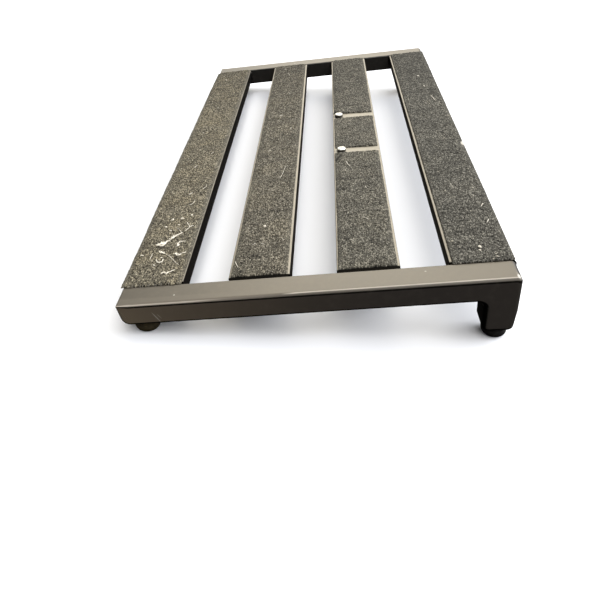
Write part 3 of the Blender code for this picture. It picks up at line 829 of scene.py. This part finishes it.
def tape_height(seed, x, y, to_edge, to_end, cuts, lifts, corner):
    """Height of the tape, how much of it is pile, and where it is cut, over its grid."""
    selvedge_width = 3.4 + 1.0 * (vnoise(x / 40.0, x * 0 + 5.0, seed + 21) - 0.5)
    pile = smooth01((to_edge - selvedge_width + 0.9) / 1.8)
    wear = layered(x / 22.0, y / 16.0, seed + 31)
    tuft = layered(x / 1.25, y / 1.25, seed + 41)
    clump = vnoise(x / 2.9, y / 2.9, seed + 43)
    bend = 0.6 * vnoise(x / 9, y / 9, seed + 44) * 2
    rows = 0.5 + 0.5 * np.sin((x + bend) * 2 * math.pi / 2.05)
    z = 1.15 + 0.22 * vnoise(x / 1.6, y / 1.6, seed + 51)            # woven selvedge
    z = z + pile * (-0.25 + 0.95 * tuft + 0.36 * clump + 0.08 * rows + 0.22 * (wear - 0.5))
    z = z + 0.10 * (layered(x / 60.0, y / 60.0, seed + 61) - 0.5)
    z = z - 0.55 * np.exp(-to_end / 1.3)
    cut = np.zeros_like(z)
    for line, width in cuts:
        distance = np.full_like(z, 1e9)
        for a, b in zip(line, line[1:]):
            distance = np.minimum(distance, segment_distance(x, y, *a, *b))
        pressed = np.exp(-(distance / width) ** 2)
        cut = np.maximum(cut, pressed)
        z = z * (1 - 0.75 * pressed) + 0.25 * pressed
    for cx, cy, radius, height in lifts:
        z = z + height * np.exp(-((x - cx) ** 2 + (y - cy) ** 2) / radius ** 2)
    # the outer edge rolls down to the rail
    z = z * (0.45 + 0.55 * smooth01(to_edge / 0.9 + 0.15)) * (0.7 + 0.3 * smooth01(to_end / 0.8))
    z = np.clip(z, 0.35, TAPE_MAX)
    if corner:                                 # a missing corner
        cx, cy, radius = corner
        gone = smooth01(np.exp(-((x - cx) ** 2 + (y - cy) ** 2) / radius ** 2) * 1.6)
        cut = np.maximum(cut, gone)
        z = np.clip(z * (1 - 0.7 * gone), 0.2, TAPE_MAX)
    return z, pile, cut


def tape_shell(x, y, z):
    """Closed body: the top grid, and its outline again close to the rail."""
    base_z, tuck = 0.06, 0.12
    n0, n1 = z.shape

    def low(px, py):
        return np.stack([px, py, np.full(len(px), base_z)], -1)

    verts = np.concatenate([
        np.stack([x, y, z], -1).reshape(-1, 3),
        low(x[:, 0], y[:, 0] + tuck), low(x[:, -1], y[:, -1] - tuck),
        low(x[0, 1:-1], y[0, 1:-1]), low(x[-1, 1:-1], y[-1, 1:-1])])
    top = np.arange(n0 * n1).reshape(n0, n1)
    front = n0 * n1 + np.arange(n0)
    rear = front[-1] + 1 + np.arange(n0)
    far = rear[-1] + 1 + np.arange(n1 - 2)
    near = far[-1] + 1 + np.arange(n1 - 2)
    faces = np.stack([top[:-1, :-1], top[1:, :-1], top[1:, 1:], top[:-1, 1:]],
                     -1).reshape(-1, 4).tolist()
    for i in range(n0 - 1):
        faces.append((top[i + 1, 0], top[i, 0], front[i], front[i + 1]))
        faces.append((top[i, -1], top[i + 1, -1], rear[i + 1], rear[i]))
    far_row = [front[0], *far, rear[0]]
    near_row = [front[-1], *near, rear[-1]]
    for j in range(n1 - 1):
        faces.append((top[0, j], top[0, j + 1], far_row[j + 1], far_row[j]))
        faces.append((top[-1, j + 1], top[-1, j], near_row[j], near_row[j + 1]))
    for i in range(1, n0 - 2):
        faces.append((front[i], rear[i], rear[i + 1], front[i + 1]))
    faces.append((*far_row, rear[1], front[1]))
    faces.append((front[-2], rear[-2], *reversed(near_row)))
    return verts, faces


def tape(tag, pile_index, seed, front, rear, far, near, notches=(), cuts=(), lifts=(),
         corner=None, edge_rag=0.2, end_rag=0.35, selvedge=0.3, wall_foot_shade=0.0):
    """A strip of loop tape between y = front and rear; far and near are each (x at front, x
    at rear). notches in the rear edge: (x, half length, depth). cuts pressed down to the
    backing: (polyline, width). lifts: (x, y, radius, height). corner: (x, y, radius)."""
    x, y, to_edge, to_end = tape_outline(seed, front, rear, far, near, notches, edge_rag,
                                         end_rag)
    z, pile, cut = tape_height(seed, x, y, to_edge, to_end, cuts, lifts, corner)
    verts, faces = tape_shell(x, y, z)
    below = len(verts) - z.size
    edge_dark = np.exp(-to_edge / 0.5) * 0.15
    dark = np.clip(np.maximum(cut, edge_dark), 0, 1).reshape(-1)
    # the cut attribute holds the cut lines and, at the foot of the walls, the painted shade
    add_mesh("loop_tape_" + tag, verts * MM, faces, PILE[pile_index],
             replaces="loop_strip_" + tag, attrs={
                 "selvedge": np.concatenate([(1 - pile).reshape(-1) * selvedge,
                                             np.zeros(below)]),
                 "cut": np.concatenate([dark, np.full(below, wall_foot_shade)])})
    return Strip(front, rear, far, near, z)


def height_at(strip, px, py):
    """Top of the tape at a point, from its own grid."""
    cols, rows = strip.z.shape
    s = (px - strip.far[0]) / (strip.near[0] - strip.far[0])
    t = (py - strip.front) / (strip.rear - strip.front)
    i = int(np.clip(round(s * (cols - 1)), 0, cols - 1))
    j = int(np.clip(round(t * (rows - 1)), 0, rows - 1))
    return float(strip.z[i, j])


INNER_MM = INNER / MM
FAR = (-INNER_MM + 0.2,) * 2
OVER = (INNER_MM + 1.2,) * 2                   # hangs over the end frame
SHORT = (INNER_MM - 2.1,) * 2                  # stops short of it
TAPES = {
    "1": dict(pile_index=0, seed=101, front=-1.4, rear=50.0, far=FAR, near=OVER,
              corner=(-INNER_MM + 0.6, -0.9, 4.2), edge_rag=0.22, end_rag=0.75,
              selvedge=0.45),
    "2": dict(pile_index=1, seed=202, front=TAPE_2_FRONT, rear=137.6, far=FAR, near=SHORT,
              cuts=((((138.5, 131.0), (135.9, 134.3), (135.0, 136.0)), 1.0),
                    (((176.0, 128.0), (178.0, 131.5)), 0.6)), wall_foot_shade=0.8),
    "3_left": dict(pile_index=2, seed=303, front=179.4, rear=226.6, far=FAR,
                   near=(-58.5, -54.2), corner=(-60.5, 179.6, 4.6)),
    "3_middle": dict(pile_index=2, seed=304, front=179.6, rear=226.4, far=(-42.4, -41.8),
                     near=(44.0, 46.9)),
    "3_right": dict(
        pile_index=2, seed=305, front=179.2, rear=226.6, far=(57.2, 59.4), near=SHORT,
        cuts=((((79.5, 179.0), (74.5, 180.6), (70.0, 182.8), (66.1, 185.4)), 1.8),
              (((143.0, 180.2), (141.6, 183.5), (144.5, 187.6)), 1.0),
              (((97.0, 207.0), (99.0, 213.0), (98.0, 219.0)), 0.7)),
        lifts=((72.0, 180.0, 3.0, 0.3),), wall_foot_shade=0.8),
    "4": dict(
        pile_index=3, seed=404, front=268.9, rear=316.9, far=FAR, near=OVER,
        notches=((63.5, 10.5, 3.4),),
        # the first cut paints the shade along the notch's torn edge
        cuts=((((55.0, 316.0), (59.0, 314.4), (64.0, 313.6), (71.0, 315.2),
                (79.0, 317.2)), 1.6),
              (((197.6, 270.5), (199.0, 278.0)), 0.6), (((200.2, 282.0), (200.7, 292.0)), 0.6),
              (((255.0, 272.0), (255.5, 281.0)), 0.6), (((88.0, 303.0), (84.0, 309.0)), 0.7)),
        end_rag=0.6),
}
STRIPS = {tag: tape(tag, **settings) for tag, settings in TAPES.items()}


# ------------------------------------------------------------------ fibres, in millimetres
def tube(verts, faces, points, radii, sides=3):
    """Adds a closed tube along points, with a radius at each."""
    rings = []
    for i, p in enumerate(points):
        a = Vector(points[max(0, i - 1)])
        b = Vector(points[min(len(points) - 1, i + 1)])
        along = b - a
        along = along.normalized() if along.length > 1e-9 else Vector((1, 0, 0))
        up = Vector((0, 0, 1)) if abs(along.z) < 0.9 else Vector((1, 0, 0))
        u = along.cross(up).normalized()
        w = u.cross(along).normalized()
        ring = []
        for q in range(sides):
            angle = 2 * math.pi * q / sides
            off = (u * math.cos(angle) + w * math.sin(angle)) * radii[i]
            ring.append(((p[0] + off.x) * MM, (p[1] + off.y) * MM, (p[2] + off.z) * MM))
        rings.append(ring)
    new_verts, new_faces, caps = loft(rings, first=len(verts))
    verts += new_verts
    faces += new_faces + [caps[0][::-1], caps[1]]


def standing_loop(strip, rng, x_far, x_near):
    """A single loop that stands out of the pile."""
    px = rng.uniform(x_far + 2.0, x_near - 2.0)
    py = rng.uniform(strip.front + 3.0, strip.rear - 3.0)
    pz = height_at(strip, px, py)
    angle = rng.uniform(0, math.pi)
    half = rng.uniform(0.55, 1.15)
    rise = rng.uniform(0.25, 0.6)
    dx, dy = math.cos(angle) * half, math.sin(angle) * half
    points = []
    for q in range(5):
        t = q / 4
        lift = math.sin(t * math.pi) * rise
        sway = math.sin(t * math.pi) * rng.uniform(-0.25, 0.25)
        points.append((px - dx + 2 * dx * t - dy * sway, py - dy + 2 * dy * t + dx * sway,
                       min(2.45, pz - 0.18 + lift)))
    return points, [0.09, 0.11, 0.11, 0.11, 0.09]


def stray_fibre(strip, rng, x_far, x_near, index):
    """A longer fibre that lies on the pile."""
    px = rng.uniform(x_far + 4.0, x_near - 8.0)
    py = rng.uniform(strip.front + 3.0, strip.rear - 3.0)
    heading = rng.uniform(-0.6, 0.6) + (math.pi / 2 if rng.random() < 0.3 else 0)
    length = rng.uniform(3.0, 8.0)
    bend = rng.uniform(-1.2, 1.2)
    points = []
    for q in range(7):
        t = q / 6
        angle = heading + bend * t
        x = px + math.cos(angle) * length * t
        y = min(strip.rear - 1.5, max(strip.front + 1.5, py + math.sin(angle) * length * t))
        wave = 0.18 * math.sin(t * 9 + index)
        points.append((x, y, min(2.5, height_at(strip, x, y) + 0.05 + wave)))
    return points, [0.06] + [0.09] * 5 + [0.05]


def frayed_end(strip, rng, x_near):
    """A fibre that hangs over the end frame where the tape was cut."""
    py = rng.uniform(strip.front + 0.4, strip.rear - 0.4)
    x = x_near - rng.uniform(0.6, 1.5)
    reach = rng.uniform(1.0, 2.2)
    aside = rng.uniform(-0.6, 0.6)
    drop = height_at(strip, x, py) - 0.2
    points = [(x + reach * t, py + aside * t, 0.25 + drop * (1 - t ** 1.8))
              for t in (0, 0.3, 0.6, 0.85, 1.0)]
    return points, [0.10, 0.16, 0.18, 0.15, 0.09]


def fibres(tag, mat, seed, loops, strays, frayed):
    strip = STRIPS[tag]
    rng = random.Random(seed)
    verts, faces = [], []
    x_far, x_near = strip.far[0], strip.near[0]
    for _ in range(loops):
        tube(verts, faces, *standing_loop(strip, rng, x_far, x_near))
    for k in range(strays):
        tube(verts, faces, *stray_fibre(strip, rng, x_far, x_near, k))
    for _ in range(frayed):
        tube(verts, faces, *frayed_end(strip, rng, x_near))
    add_mesh("pile_loops_" + tag, verts, faces, mat, outward=False)


# tape, material, seed, standing loops, stray fibres, frayed ends
for row in (("1", FIBRE[0], 11, 1500, 60, 46), ("2", FIBRE[1], 12, 1350, 34, 0),
            ("3_left", FIBRE[2], 13, 520, 14, 0), ("3_middle", FIBRE[2], 14, 230, 6, 0),
            ("3_right", FIBRE[2], 15, 560, 16, 0), ("4", FIBRE[3], 16, 1350, 34, 40)):
    fibres(*row)


# ------------------------------------------------------------------ lint, in millimetres
def smooth_path(points):
    """Catmull-Rom curve through the points, six steps to a span."""
    out = []
    last = len(points) - 1
    for i in range(last):
        p0, p1 = points[max(0, i - 1)], points[i]
        p2, p3 = points[i + 1], points[min(last, i + 2)]
        for q in range(6):
            t = q / 6
            out.append(tuple(0.5 * ((2 * p1[c]) + (-p0[c] + p2[c]) * t
                             + (2 * p0[c] - 5 * p1[c] + 4 * p2[c] - p3[c]) * t * t
                             + (-p0[c] + 3 * p1[c] - 3 * p2[c] + p3[c]) * t ** 3)
                             for c in (0, 1)))
    return out + [points[-1]]


def lint(name, strip, seed, strands):
    """Pale fluff caught in the pile, each strand twisted from its plies."""
    rng = random.Random(seed)
    verts, faces = [], []
    for corners, thick, plies in strands:
        path = smooth_path(corners)
        for _ in range(plies):
            phase = rng.uniform(0, 6.28)
            off = rng.uniform(0.15, 0.55) * thick if plies > 1 else 0.0
            points, radii = [], []
            for i, (x, y) in enumerate(path):
                t = i / (len(path) - 1)
                a = phase + t * 7.0
                swell = 0.35 + 0.65 * math.sin(math.pi * min(1.0, 0.12 + t * 0.9)) ** 0.7
                px = x + math.cos(a) * off * 1.6
                py = y + math.sin(a) * off * 1.6
                z = height_at(strip, px, py) + 0.12 + 0.25 * thick + 0.2 * off * math.sin(a * 1.3)
                points.append((px, py, min(2.9, z)))
                radii.append(max(0.05, (0.16 if plies > 1 else 0.5) * thick * swell + 0.04))
            tube(verts, faces, points, radii, sides=5 if plies == 1 else 4)
    add_mesh(name, verts, faces, LINT, outward=False)


# Strands are (points (x, y), thickness, plies).
LINT_1 = (
    # a long twist with two lumps, and the hair that leaves its far end
    (((220.0, 16.6), (218.8, 21.0), (214.3, 25.7), (209.5, 28.4), (204.6, 33.1),
      (202.4, 35.5)), 1.0, 6),
    (((220.6, 16.4), (219.8, 18.6), (218.8, 21.2), (217.2, 23.2)), 2.6, 9),
    (((222.6, 19.4), (221.6, 21.6), (219.6, 23.4)), 1.6, 6),
    (((212.0, 26.6), (210.6, 27.8), (209.0, 28.8), (207.8, 30.2)), 1.9, 7),
    (((207.1, 30.7), (204.6, 33.1), (202.4, 35.5)), 1.1, 4),
    (((202.4, 35.5), (197.5, 32.1), (192.5, 28.7)), 0.5, 2),
    # smaller tufts and hairs
    (((225.2, 35.9), (221.1, 35.1), (219.0, 36.0), (217.6, 38.1), (217.7, 41.3)), 1.1, 5),
    (((225.9, 35.7), (224.4, 36.1), (222.6, 35.6)), 1.5, 4),
    (((232.0, 21.3), (234.1, 23.6), (235.5, 26.6)), 1.7, 7),
    (((235.5, 26.6), (238.8, 30.1), (243.1, 33.7), (248.2, 37.5), (254.8, 42.4)), 0.62, 2),
    (((237.9, 35.3), (237.2, 37.5), (239.4, 39.3), (238.6, 40.9)), 1.5, 6),
    (((236.8, 42.3), (236.2, 44.0), (234.5, 45.5)), 0.8, 3),
    (((245.3, 21.2), (248.6, 23.3), (248.4, 25.9), (244.6, 27.3)), 1.0, 4),
    (((266.4, 30.1), (264.4, 31.4), (267.1, 34.6), (265.0, 36.3), (263.8, 38.2),
      (262.0, 40.8)), 1.1, 5),
    (((183.9, 37.2), (189.7, 39.8), (195.2, 40.3), (199.3, 38.2)), 0.75, 3),
    (((192.7, 41.3), (190.3, 43.7)), 0.9, 3),
    (((243.0, 15.2), (238.2, 14.5), (234.4, 15.4)), 0.7, 2),
    (((175.8, 30.2), (176.4, 30.8), (177.2, 31.0)), 1.7, 3),
    (((177.6, 20.6), (175.8, 21.3)), 1.4, 3),
    (((189.3, 16.8), (189.9, 17.6), (190.6, 18.0)), 1.3, 3),
    (((235.8, 5.2), (236.3, 5.9), (236.9, 6.4)), 1.2, 3),
    (((187.0, 29.0), (187.6, 30.2)), 1.1, 2), (((196.6, 23.0), (197.4, 24.0)), 0.9, 2),
    (((170.6, 38.6), (171.5, 39.8)), 1.3, 3), (((241.6, 24.2), (242.4, 25.6)), 1.1, 2),
    (((252.4, 20.2), (253.2, 21.2)), 1.0, 2),
    (((150.0, 33.0), (146.0, 36.0), (141.0, 37.0)), 0.6, 2),
    (((128.0, 28.0), (124.0, 31.0)), 0.7, 2),
    (((118.0, 41.0), (113.0, 43.5), (108.0, 43.0)), 0.6, 2),
    (((64.0, 22.0), (60.0, 24.5)), 0.7, 2), (((31.0, 36.0), (26.0, 38.0)), 0.6, 2),
    (((-36.0, 15.0), (-33.0, 17.0)), 0.9, 2), (((-120.0, 21.0), (-117.5, 22.5)), 1.0, 2),
    (((-238.0, 17.0), (-235.5, 18.0)), 1.2, 3),
)
LINT_2 = (
    (((202.0, 113.0), (202.8, 113.6), (203.6, 113.8)), 1.6, 3),
    (((256.1, 92.2), (260.7, 94.1), (265.3, 95.9)), 0.45, 1),
    (((108.4, 121.4), (99.0, 123.6), (90.4, 124.6), (78.7, 126.1)), 0.30, 1),
    (((232.0, 105.0), (230.0, 107.5)), 0.7, 2), (((231.0, 112.5), (233.0, 115.0)), 0.7, 2),
    (((226.0, 131.0), (229.0, 132.0)), 0.7, 2), (((40.0, 104.0), (36.0, 106.0)), 0.7, 2),
    (((-20.0, 126.0), (-25.0, 127.0)), 0.8, 2), (((-66.0, 110.0), (-70.0, 113.0)), 0.8, 2),
    (((-236.0, 112.0), (-232.0, 114.2), (-228.0, 114.8)), 0.7, 2),
    (((-150.0, 118.0), (-146.0, 120.0)), 0.6, 2), (((-260.0, 105.0), (-256.0, 108.0)), 0.6, 2),
)
LINT_3 = (
    (((199.7, 202.9), (202.6, 205.4), (205.7, 207.5)), 0.9, 3),
    (((82.7, 190.7), (90.3, 192.6), (95.5, 194.6)), 0.5, 1),
    (((102.0, 189.0), (106.0, 190.6)), 0.8, 2), (((143.0, 208.0), (146.0, 209.0)), 0.7, 2),
    (((236.0, 190.0), (238.0, 193.0)), 0.6, 2),
)
LINT_4 = (
    (((261.5, 293.0), (262.4, 293.8)), 1.6, 3), (((265.8, 292.2), (266.8, 293.0)), 1.3, 3),
    (((275.8, 303.8), (276.8, 304.8)), 1.0, 2),
    (((150.7, 288.1), (155.5, 289.0), (161.0, 289.2)), 0.6, 2),
    (((-165.0, 296.2), (-163.0, 297.0)), 1.6, 3), (((-123.5, 299.0), (-121.0, 299.7)), 1.2, 3),
    (((-86.8, 303.4), (-76.0, 304.4), (-64.5, 306.4)), 0.55, 1),
    (((193.0, 310.0), (199.0, 307.0)), 0.5, 1), (((221.0, 309.0), (226.0, 306.5)), 0.5, 1),
    (((130.0, 303.0), (133.0, 305.0)), 0.7, 2), (((176.0, 304.0), (180.0, 305.0)), 0.8, 2),
)
lint("lint_rail_1", STRIPS["1"], 71, LINT_1)
lint("lint_rail_2", STRIPS["2"], 72, LINT_2)
lint("lint_rail_3", STRIPS["3_right"], 73, LINT_3)
lint("lint_rail_4", STRIPS["4"], 74, LINT_4)


# ------------------------------------------------------------------ feet
FOOT_R, FOOT_HOLE_R = 10.4 * MM, 2.8 * MM
SOLE_ROUND_H, SOLE_ROUND_W = 4.4 * MM, 3.4 * MM
RECESS_R = 5.7 * MM
FOOT_SEGMENTS = 72


def foot_profile(face_z):
    """Closed profile as (radius, z), where z may be a function of y, because the sole
    follows the floor and not the deck."""
    top, roof = face_z - 0.3 * MM, face_z - FOOT_ROOF
    shoulder = top - 0.9 * MM

    def above_floor(height):
        return lambda y: floor_z(y) + height

    def wall(share, radius):
        """share runs from 0 at the shoulder to 1 at the rounding of the sole."""
        return radius, lambda y: shoulder * (1 - share) + above_floor(SOLE_ROUND_H)(y) * share

    profile = [(FOOT_HOLE_R, top), (FOOT_R - 1.0 * MM, top),
               (FOOT_R - 0.55 * MM, top - 0.1 * MM), (FOOT_R - 0.15 * MM, top - 0.45 * MM),
               (FOOT_R, shoulder)]
    # the wall, with a shallow groove: share of the height, depth in millimetres
    profile += [wall(share, FOOT_R - depth * MM) for share, depth in (
        (0.22, 0), (0.27, 0.28), (0.36, 0.42), (0.45, 0.28), (0.50, 0), (0.9, 0), (1.0, 0))]
    for k in range(1, 11):
        a = math.radians(90.0 * k / 10)
        profile.append((FOOT_R - SOLE_ROUND_W * (1 - math.cos(a)),
                        above_floor(SOLE_ROUND_H * (1 - math.sin(a)))))
    return profile + [
        (6.1 * MM, above_floor(0.0)), (5.8 * MM, above_floor(0.12 * MM)),
        (RECESS_R, above_floor(0.4 * MM)), (RECESS_R, roof - 0.3 * MM),
        (RECESS_R - 0.1 * MM, roof), (FOOT_HOLE_R + 0.3 * MM, roof),
        (FOOT_HOLE_R, roof + 0.2 * MM)]


def foot(tag, x, y, face_z):
    """Moulded rubber foot, turned about the deck normal."""
    rings = []
    for radius, z in foot_profile(face_z):
        ring = []
        for i in range(FOOT_SEGMENTS):
            a = 2 * math.pi * i / FOOT_SEGMENTS
            py = y + radius * math.sin(a)
            ring.append((x + radius * math.cos(a), py, z(py) if callable(z) else z))
        rings.append(ring)
    verts, faces, _ = loft(rings, closed=True)
    add_mesh("foot_%s_moulded" % tag, verts, faces, RUBBER,
             replaces="foot_" + tag, sharp_deg=50)


for where, side, sign in CORNERS:
    foot("%s_%s" % (where, side), sign * FOOT_X, FOOT_Y[where], FOOT_FACE[where])


# ------------------------------------------------------------------ screws
SCREW_SEGMENTS = 96
SCREW_TURN = 0.35                              # radians, of the cross recess
SHANK_R, HEAD_DOME = 2.45 * MM, 1.4 * MM
RECESS_DEPTH, RECESS_HALF_W = 1.55 * MM, 0.42 * MM
HEAD_INNER, HEAD_INNER_RINGS, HEAD_OUTER_RINGS = 0.62, 22, 10  # share of radius, ring counts
THREAD_STEP, THREAD_DEPTH = 0.4 * MM, 0.28 * MM


def recess_depth(r, angle, drive):
    """Depth of the cross recess at a point of the head; drive is the reach of its arms."""
    px, py = abs(r * math.cos(angle)), abs(r * math.sin(angle))
    lo, hi = min(px, py), max(px, py)
    half = RECESS_HALF_W * (1.0 - 0.35 * hi / drive)
    wall = max(0.0, min(1.0, (half - lo) / (0.16 * MM) + 0.5))
    tip = max(0.0, min(1.0, (drive - hi) / (0.25 * MM)))
    centre = max(0.0, min(1.0, (1.05 * MM - r) / (0.25 * MM)))
    return max(wall * tip, centre) * RECESS_DEPTH * (1 - 0.35 * r / drive)


def pan_screw(node, mat, x, y, seat_z, up, head_r, rim, shank_l, drive):
    """Pan head screw with a cross recess. up is 1 for a head that faces out of the deck, -1
    for one that faces the floor. rim is the height of the head's straight side."""
    rings = []

    def ring(r, z, recess=False):
        points = []
        for i in range(SCREW_SEGMENTS):
            a = 2 * math.pi * (i + 0.5) / SCREW_SEGMENTS
            sunk = recess_depth(r, a, drive) if recess else 0.0
            points.append((x + r * math.cos(a + SCREW_TURN), y + r * math.sin(a + SCREW_TURN),
                           seat_z + up * (z - sunk)))
        rings.append(points)

    def dome_z(r):
        return rim + HEAD_DOME * math.sqrt(max(0.0, 1 - (r / head_r) ** 2))

    for k in range(1, HEAD_INNER_RINGS + 1):
        r = head_r * HEAD_INNER * k / HEAD_INNER_RINGS
        ring(r, dome_z(r), recess=True)
    for k in range(1, HEAD_OUTER_RINGS + 1):
        share = 1 - (1 - k / HEAD_OUTER_RINGS) ** 1.6
        r = head_r * (HEAD_INNER + (1 - HEAD_INNER) * share)
        ring(r, dome_z(r))
    ring(head_r, rim * 0.55)
    ring(head_r, 0.12 * MM)
    ring(head_r - 0.12 * MM, 0.0)
    ring(SHANK_R + 0.15 * MM, 0.0)
    ring(SHANK_R, -0.15 * MM)
    # thread: shallow ridges
    z, count = -1.2 * MM, 0
    while z > -shank_l + 1.0 * MM:
        ring(SHANK_R if count % 2 == 0 else SHANK_R - THREAD_DEPTH, z)
        z -= THREAD_STEP
        count += 1
    ring(SHANK_R - 0.45 * MM, -shank_l + 0.3 * MM)
    ring(SHANK_R - 0.6 * MM, -shank_l)
    centre = (x, y, seat_z + up * (rim + HEAD_DOME - RECESS_DEPTH))
    verts, faces, caps = loft(rings, first=1)
    fan = [(0, 1 + i, 1 + (i + 1) % SCREW_SEGMENTS) for i in range(SCREW_SEGMENTS)]
    add_mesh(node + "_pan_head", [centre] + verts, fan + faces + [caps[1]], mat,
             replaces=node, sharp_deg=40)


for number, x, y in ((1, -50.8 * MM, 185.2 * MM), (2, 50.8 * MM, 186.4 * MM)):
    pan_screw("deck_screw_%d" % number, BRIGHT, x, y, seat_z=0.3 * MM, up=1,
              head_r=4.7 * MM, rim=2.3 * MM, shank_l=21.0 * MM, drive=1.9 * MM)
for where, side, sign in CORNERS:
    pan_screw("foot_screw_%s_%s" % (where, side), ZINC, sign * FOOT_X,
              FOOT_Y[where], seat_z=FOOT_FACE[where] - FOOT_ROOF - 1.6 * MM, up=-1,
              head_r=4.6 * MM, rim=1.2 * MM, shank_l=15.0 * MM, drive=2.3 * MM)

# ------------------------------------------------------------------ carried-over CAD nodes
for name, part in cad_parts.items():
    if part.hide_render:
        continue
    if name.startswith("rail_"):
        mat = RAIL_COAT
    elif name.startswith(("rivet_nut", "foot_washer", "deck_washer", "deck_nut")):
        mat = ZINC
    else:
        mat = FRAME_COAT
    part.data.materials.clear()
    part.data.materials.append(mat)


# ------------------------------------------------------------------ floor
FLOOR_HALF = 12.0
FLOOR_LIT, FLOOR_SEEN = (0.070, 0.064, 0.056), (0.848, 0.862, 0.905)


def add_floor():
    """Pale to the camera, dark in the light it throws back on the board."""
    net = Shader("studio_floor")
    seen = net.new("ShaderNodeLightPath").outputs["Is Camera Ray"]
    mat = net.finish({"Base Color": net.mix(seen, FLOOR_LIT, FLOOR_SEEN),
                      "Roughness": 0.9, "Specular IOR Level": 0.0})
    mesh = bpy.data.meshes.new("studio_floor")
    h = FLOOR_HALF
    mesh.from_pydata([(-h, -h, 0), (h, -h, 0), (h, h, 0), (-h, h, 0)], [], [(0, 1, 2, 3)])
    mesh.materials.append(mat)
    floor = bpy.data.objects.new("studio_floor", mesh)
    floor.location.z = -0.0002
    bpy.context.scene.collection.objects.link(floor)


add_floor()

# ------------------------------------------------------------------ light
# Soft round patches of light in the sky: azimuth from +x and elevation, in degrees, spread
# in degrees, power, colour.
LIGHTS = (
    # beyond the far end, seen as the sheen on the top faces
    (183, 38, 13.0, 5.2, (1.0, 0.93, 0.77)), (183, 20, 12.0, 0.9, (1.0, 0.94, 0.82)),
    # from the rear
    (109, 34, 21.0, 3.6, (0.98, 0.99, 1.0)), (103, 24, 15.0, 7.0, (0.98, 0.99, 1.0)),
    (130, 57, 9.0, 2.9, (1.0, 0.99, 0.97)),
    # over the viewer
    (-4, 60, 7.0, 2.6, (1.0, 0.985, 0.95)), (8, 42, 7.0, 3.7, (1.0, 0.985, 0.95)),
    (0, 70, 7.0, 3.15, (1.0, 0.985, 0.95)), (30, 46, 7.0, 5.2, (1.0, 0.985, 0.95)),
    # overhead
    (9, 80, 9.0, 3.05, (1.0, 0.99, 0.97)), (90, 84, 9.0, 2.9, (1.0, 0.99, 0.97)),
    # low, from the front
    (-90, 14, 16.0, 0.9, (1.0, 1.0, 1.0)),
)
AMBIENT = (0.092, 0.093, 0.095)


def glow(net, sky, azimuth, elevation, spread, power, colour):
    a, e = math.radians(azimuth), math.radians(elevation)
    toward = Vector((math.cos(a) * math.cos(e), math.sin(a) * math.cos(e), math.sin(e)))
    dot = net.vector("DOT_PRODUCT", {0: sky, 1: toward.normalized()}, "Value")
    angle = net.math("ARCCOSINE", net.math("MINIMUM", dot, 0.99999))
    k = net.math("DIVIDE", angle, math.radians(spread))
    bell = net.math("EXPONENT", net.mul(net.mul(k, k), -0.5))
    return net.vector("SCALE", {0: colour, "Scale": net.mul(bell, power)})


def add_world(scene):
    """The glows light the board; the camera itself sees plain white."""
    world = bpy.data.worlds.new("studio")
    scene.world = world
    world.use_nodes = True
    world.node_tree.nodes.clear()
    net = Graph(world.node_tree)
    sky = net.new("ShaderNodeTexCoord").outputs["Generated"]
    parts = [glow(net, sky, *light) for light in LIGHTS] + [AMBIENT]
    total = reduce(lambda a, b: net.vector("ADD", {0: a, 1: b}), parts)
    lit = net.new("ShaderNodeBackground", {"Color": total, "Strength": 1.0})
    plain = net.new("ShaderNodeBackground", {"Color": (1.0, 1.0, 1.0, 1.0)})
    seen = net.new("ShaderNodeLightPath").outputs["Is Camera Ray"]
    mix = net.new("ShaderNodeMixShader", {"Fac": seen, 1: lit.outputs[0], 2: plain.outputs[0]})
    net.new("ShaderNodeOutputWorld", {"Surface": mix.outputs[0]})


# ------------------------------------------------------------------ camera
# place in deck millimetres, and directions in the deck plane
EYE = Vector((657.29, 192.58, 272.30))
LOOK = Vector((-0.78111, -0.09800, -0.61665))
RIGHT = Vector((-0.03476, 0.99290, -0.11376))


def add_camera(scene):
    data = bpy.data.cameras.new("camera")
    camera = bpy.data.objects.new("camera", data)
    scene.collection.objects.link(camera)
    data.sensor_width = 36.0
    data.lens = 34.761
    data.clip_start = 0.02
    look = LOOK.normalized()
    right = (RIGHT - look * RIGHT.dot(look)).normalized()
    turn = Matrix((right, right.cross(look), -look)).transposed().to_4x4()
    camera.matrix_world = DECK @ (Matrix.Translation(EYE * MM) @ turn)
    scene.camera = camera


scene = bpy.context.scene
add_world(scene)
add_camera(scene)
scene.view_settings.view_transform = "Standard"
scene.view_settings.exposure = 0.0
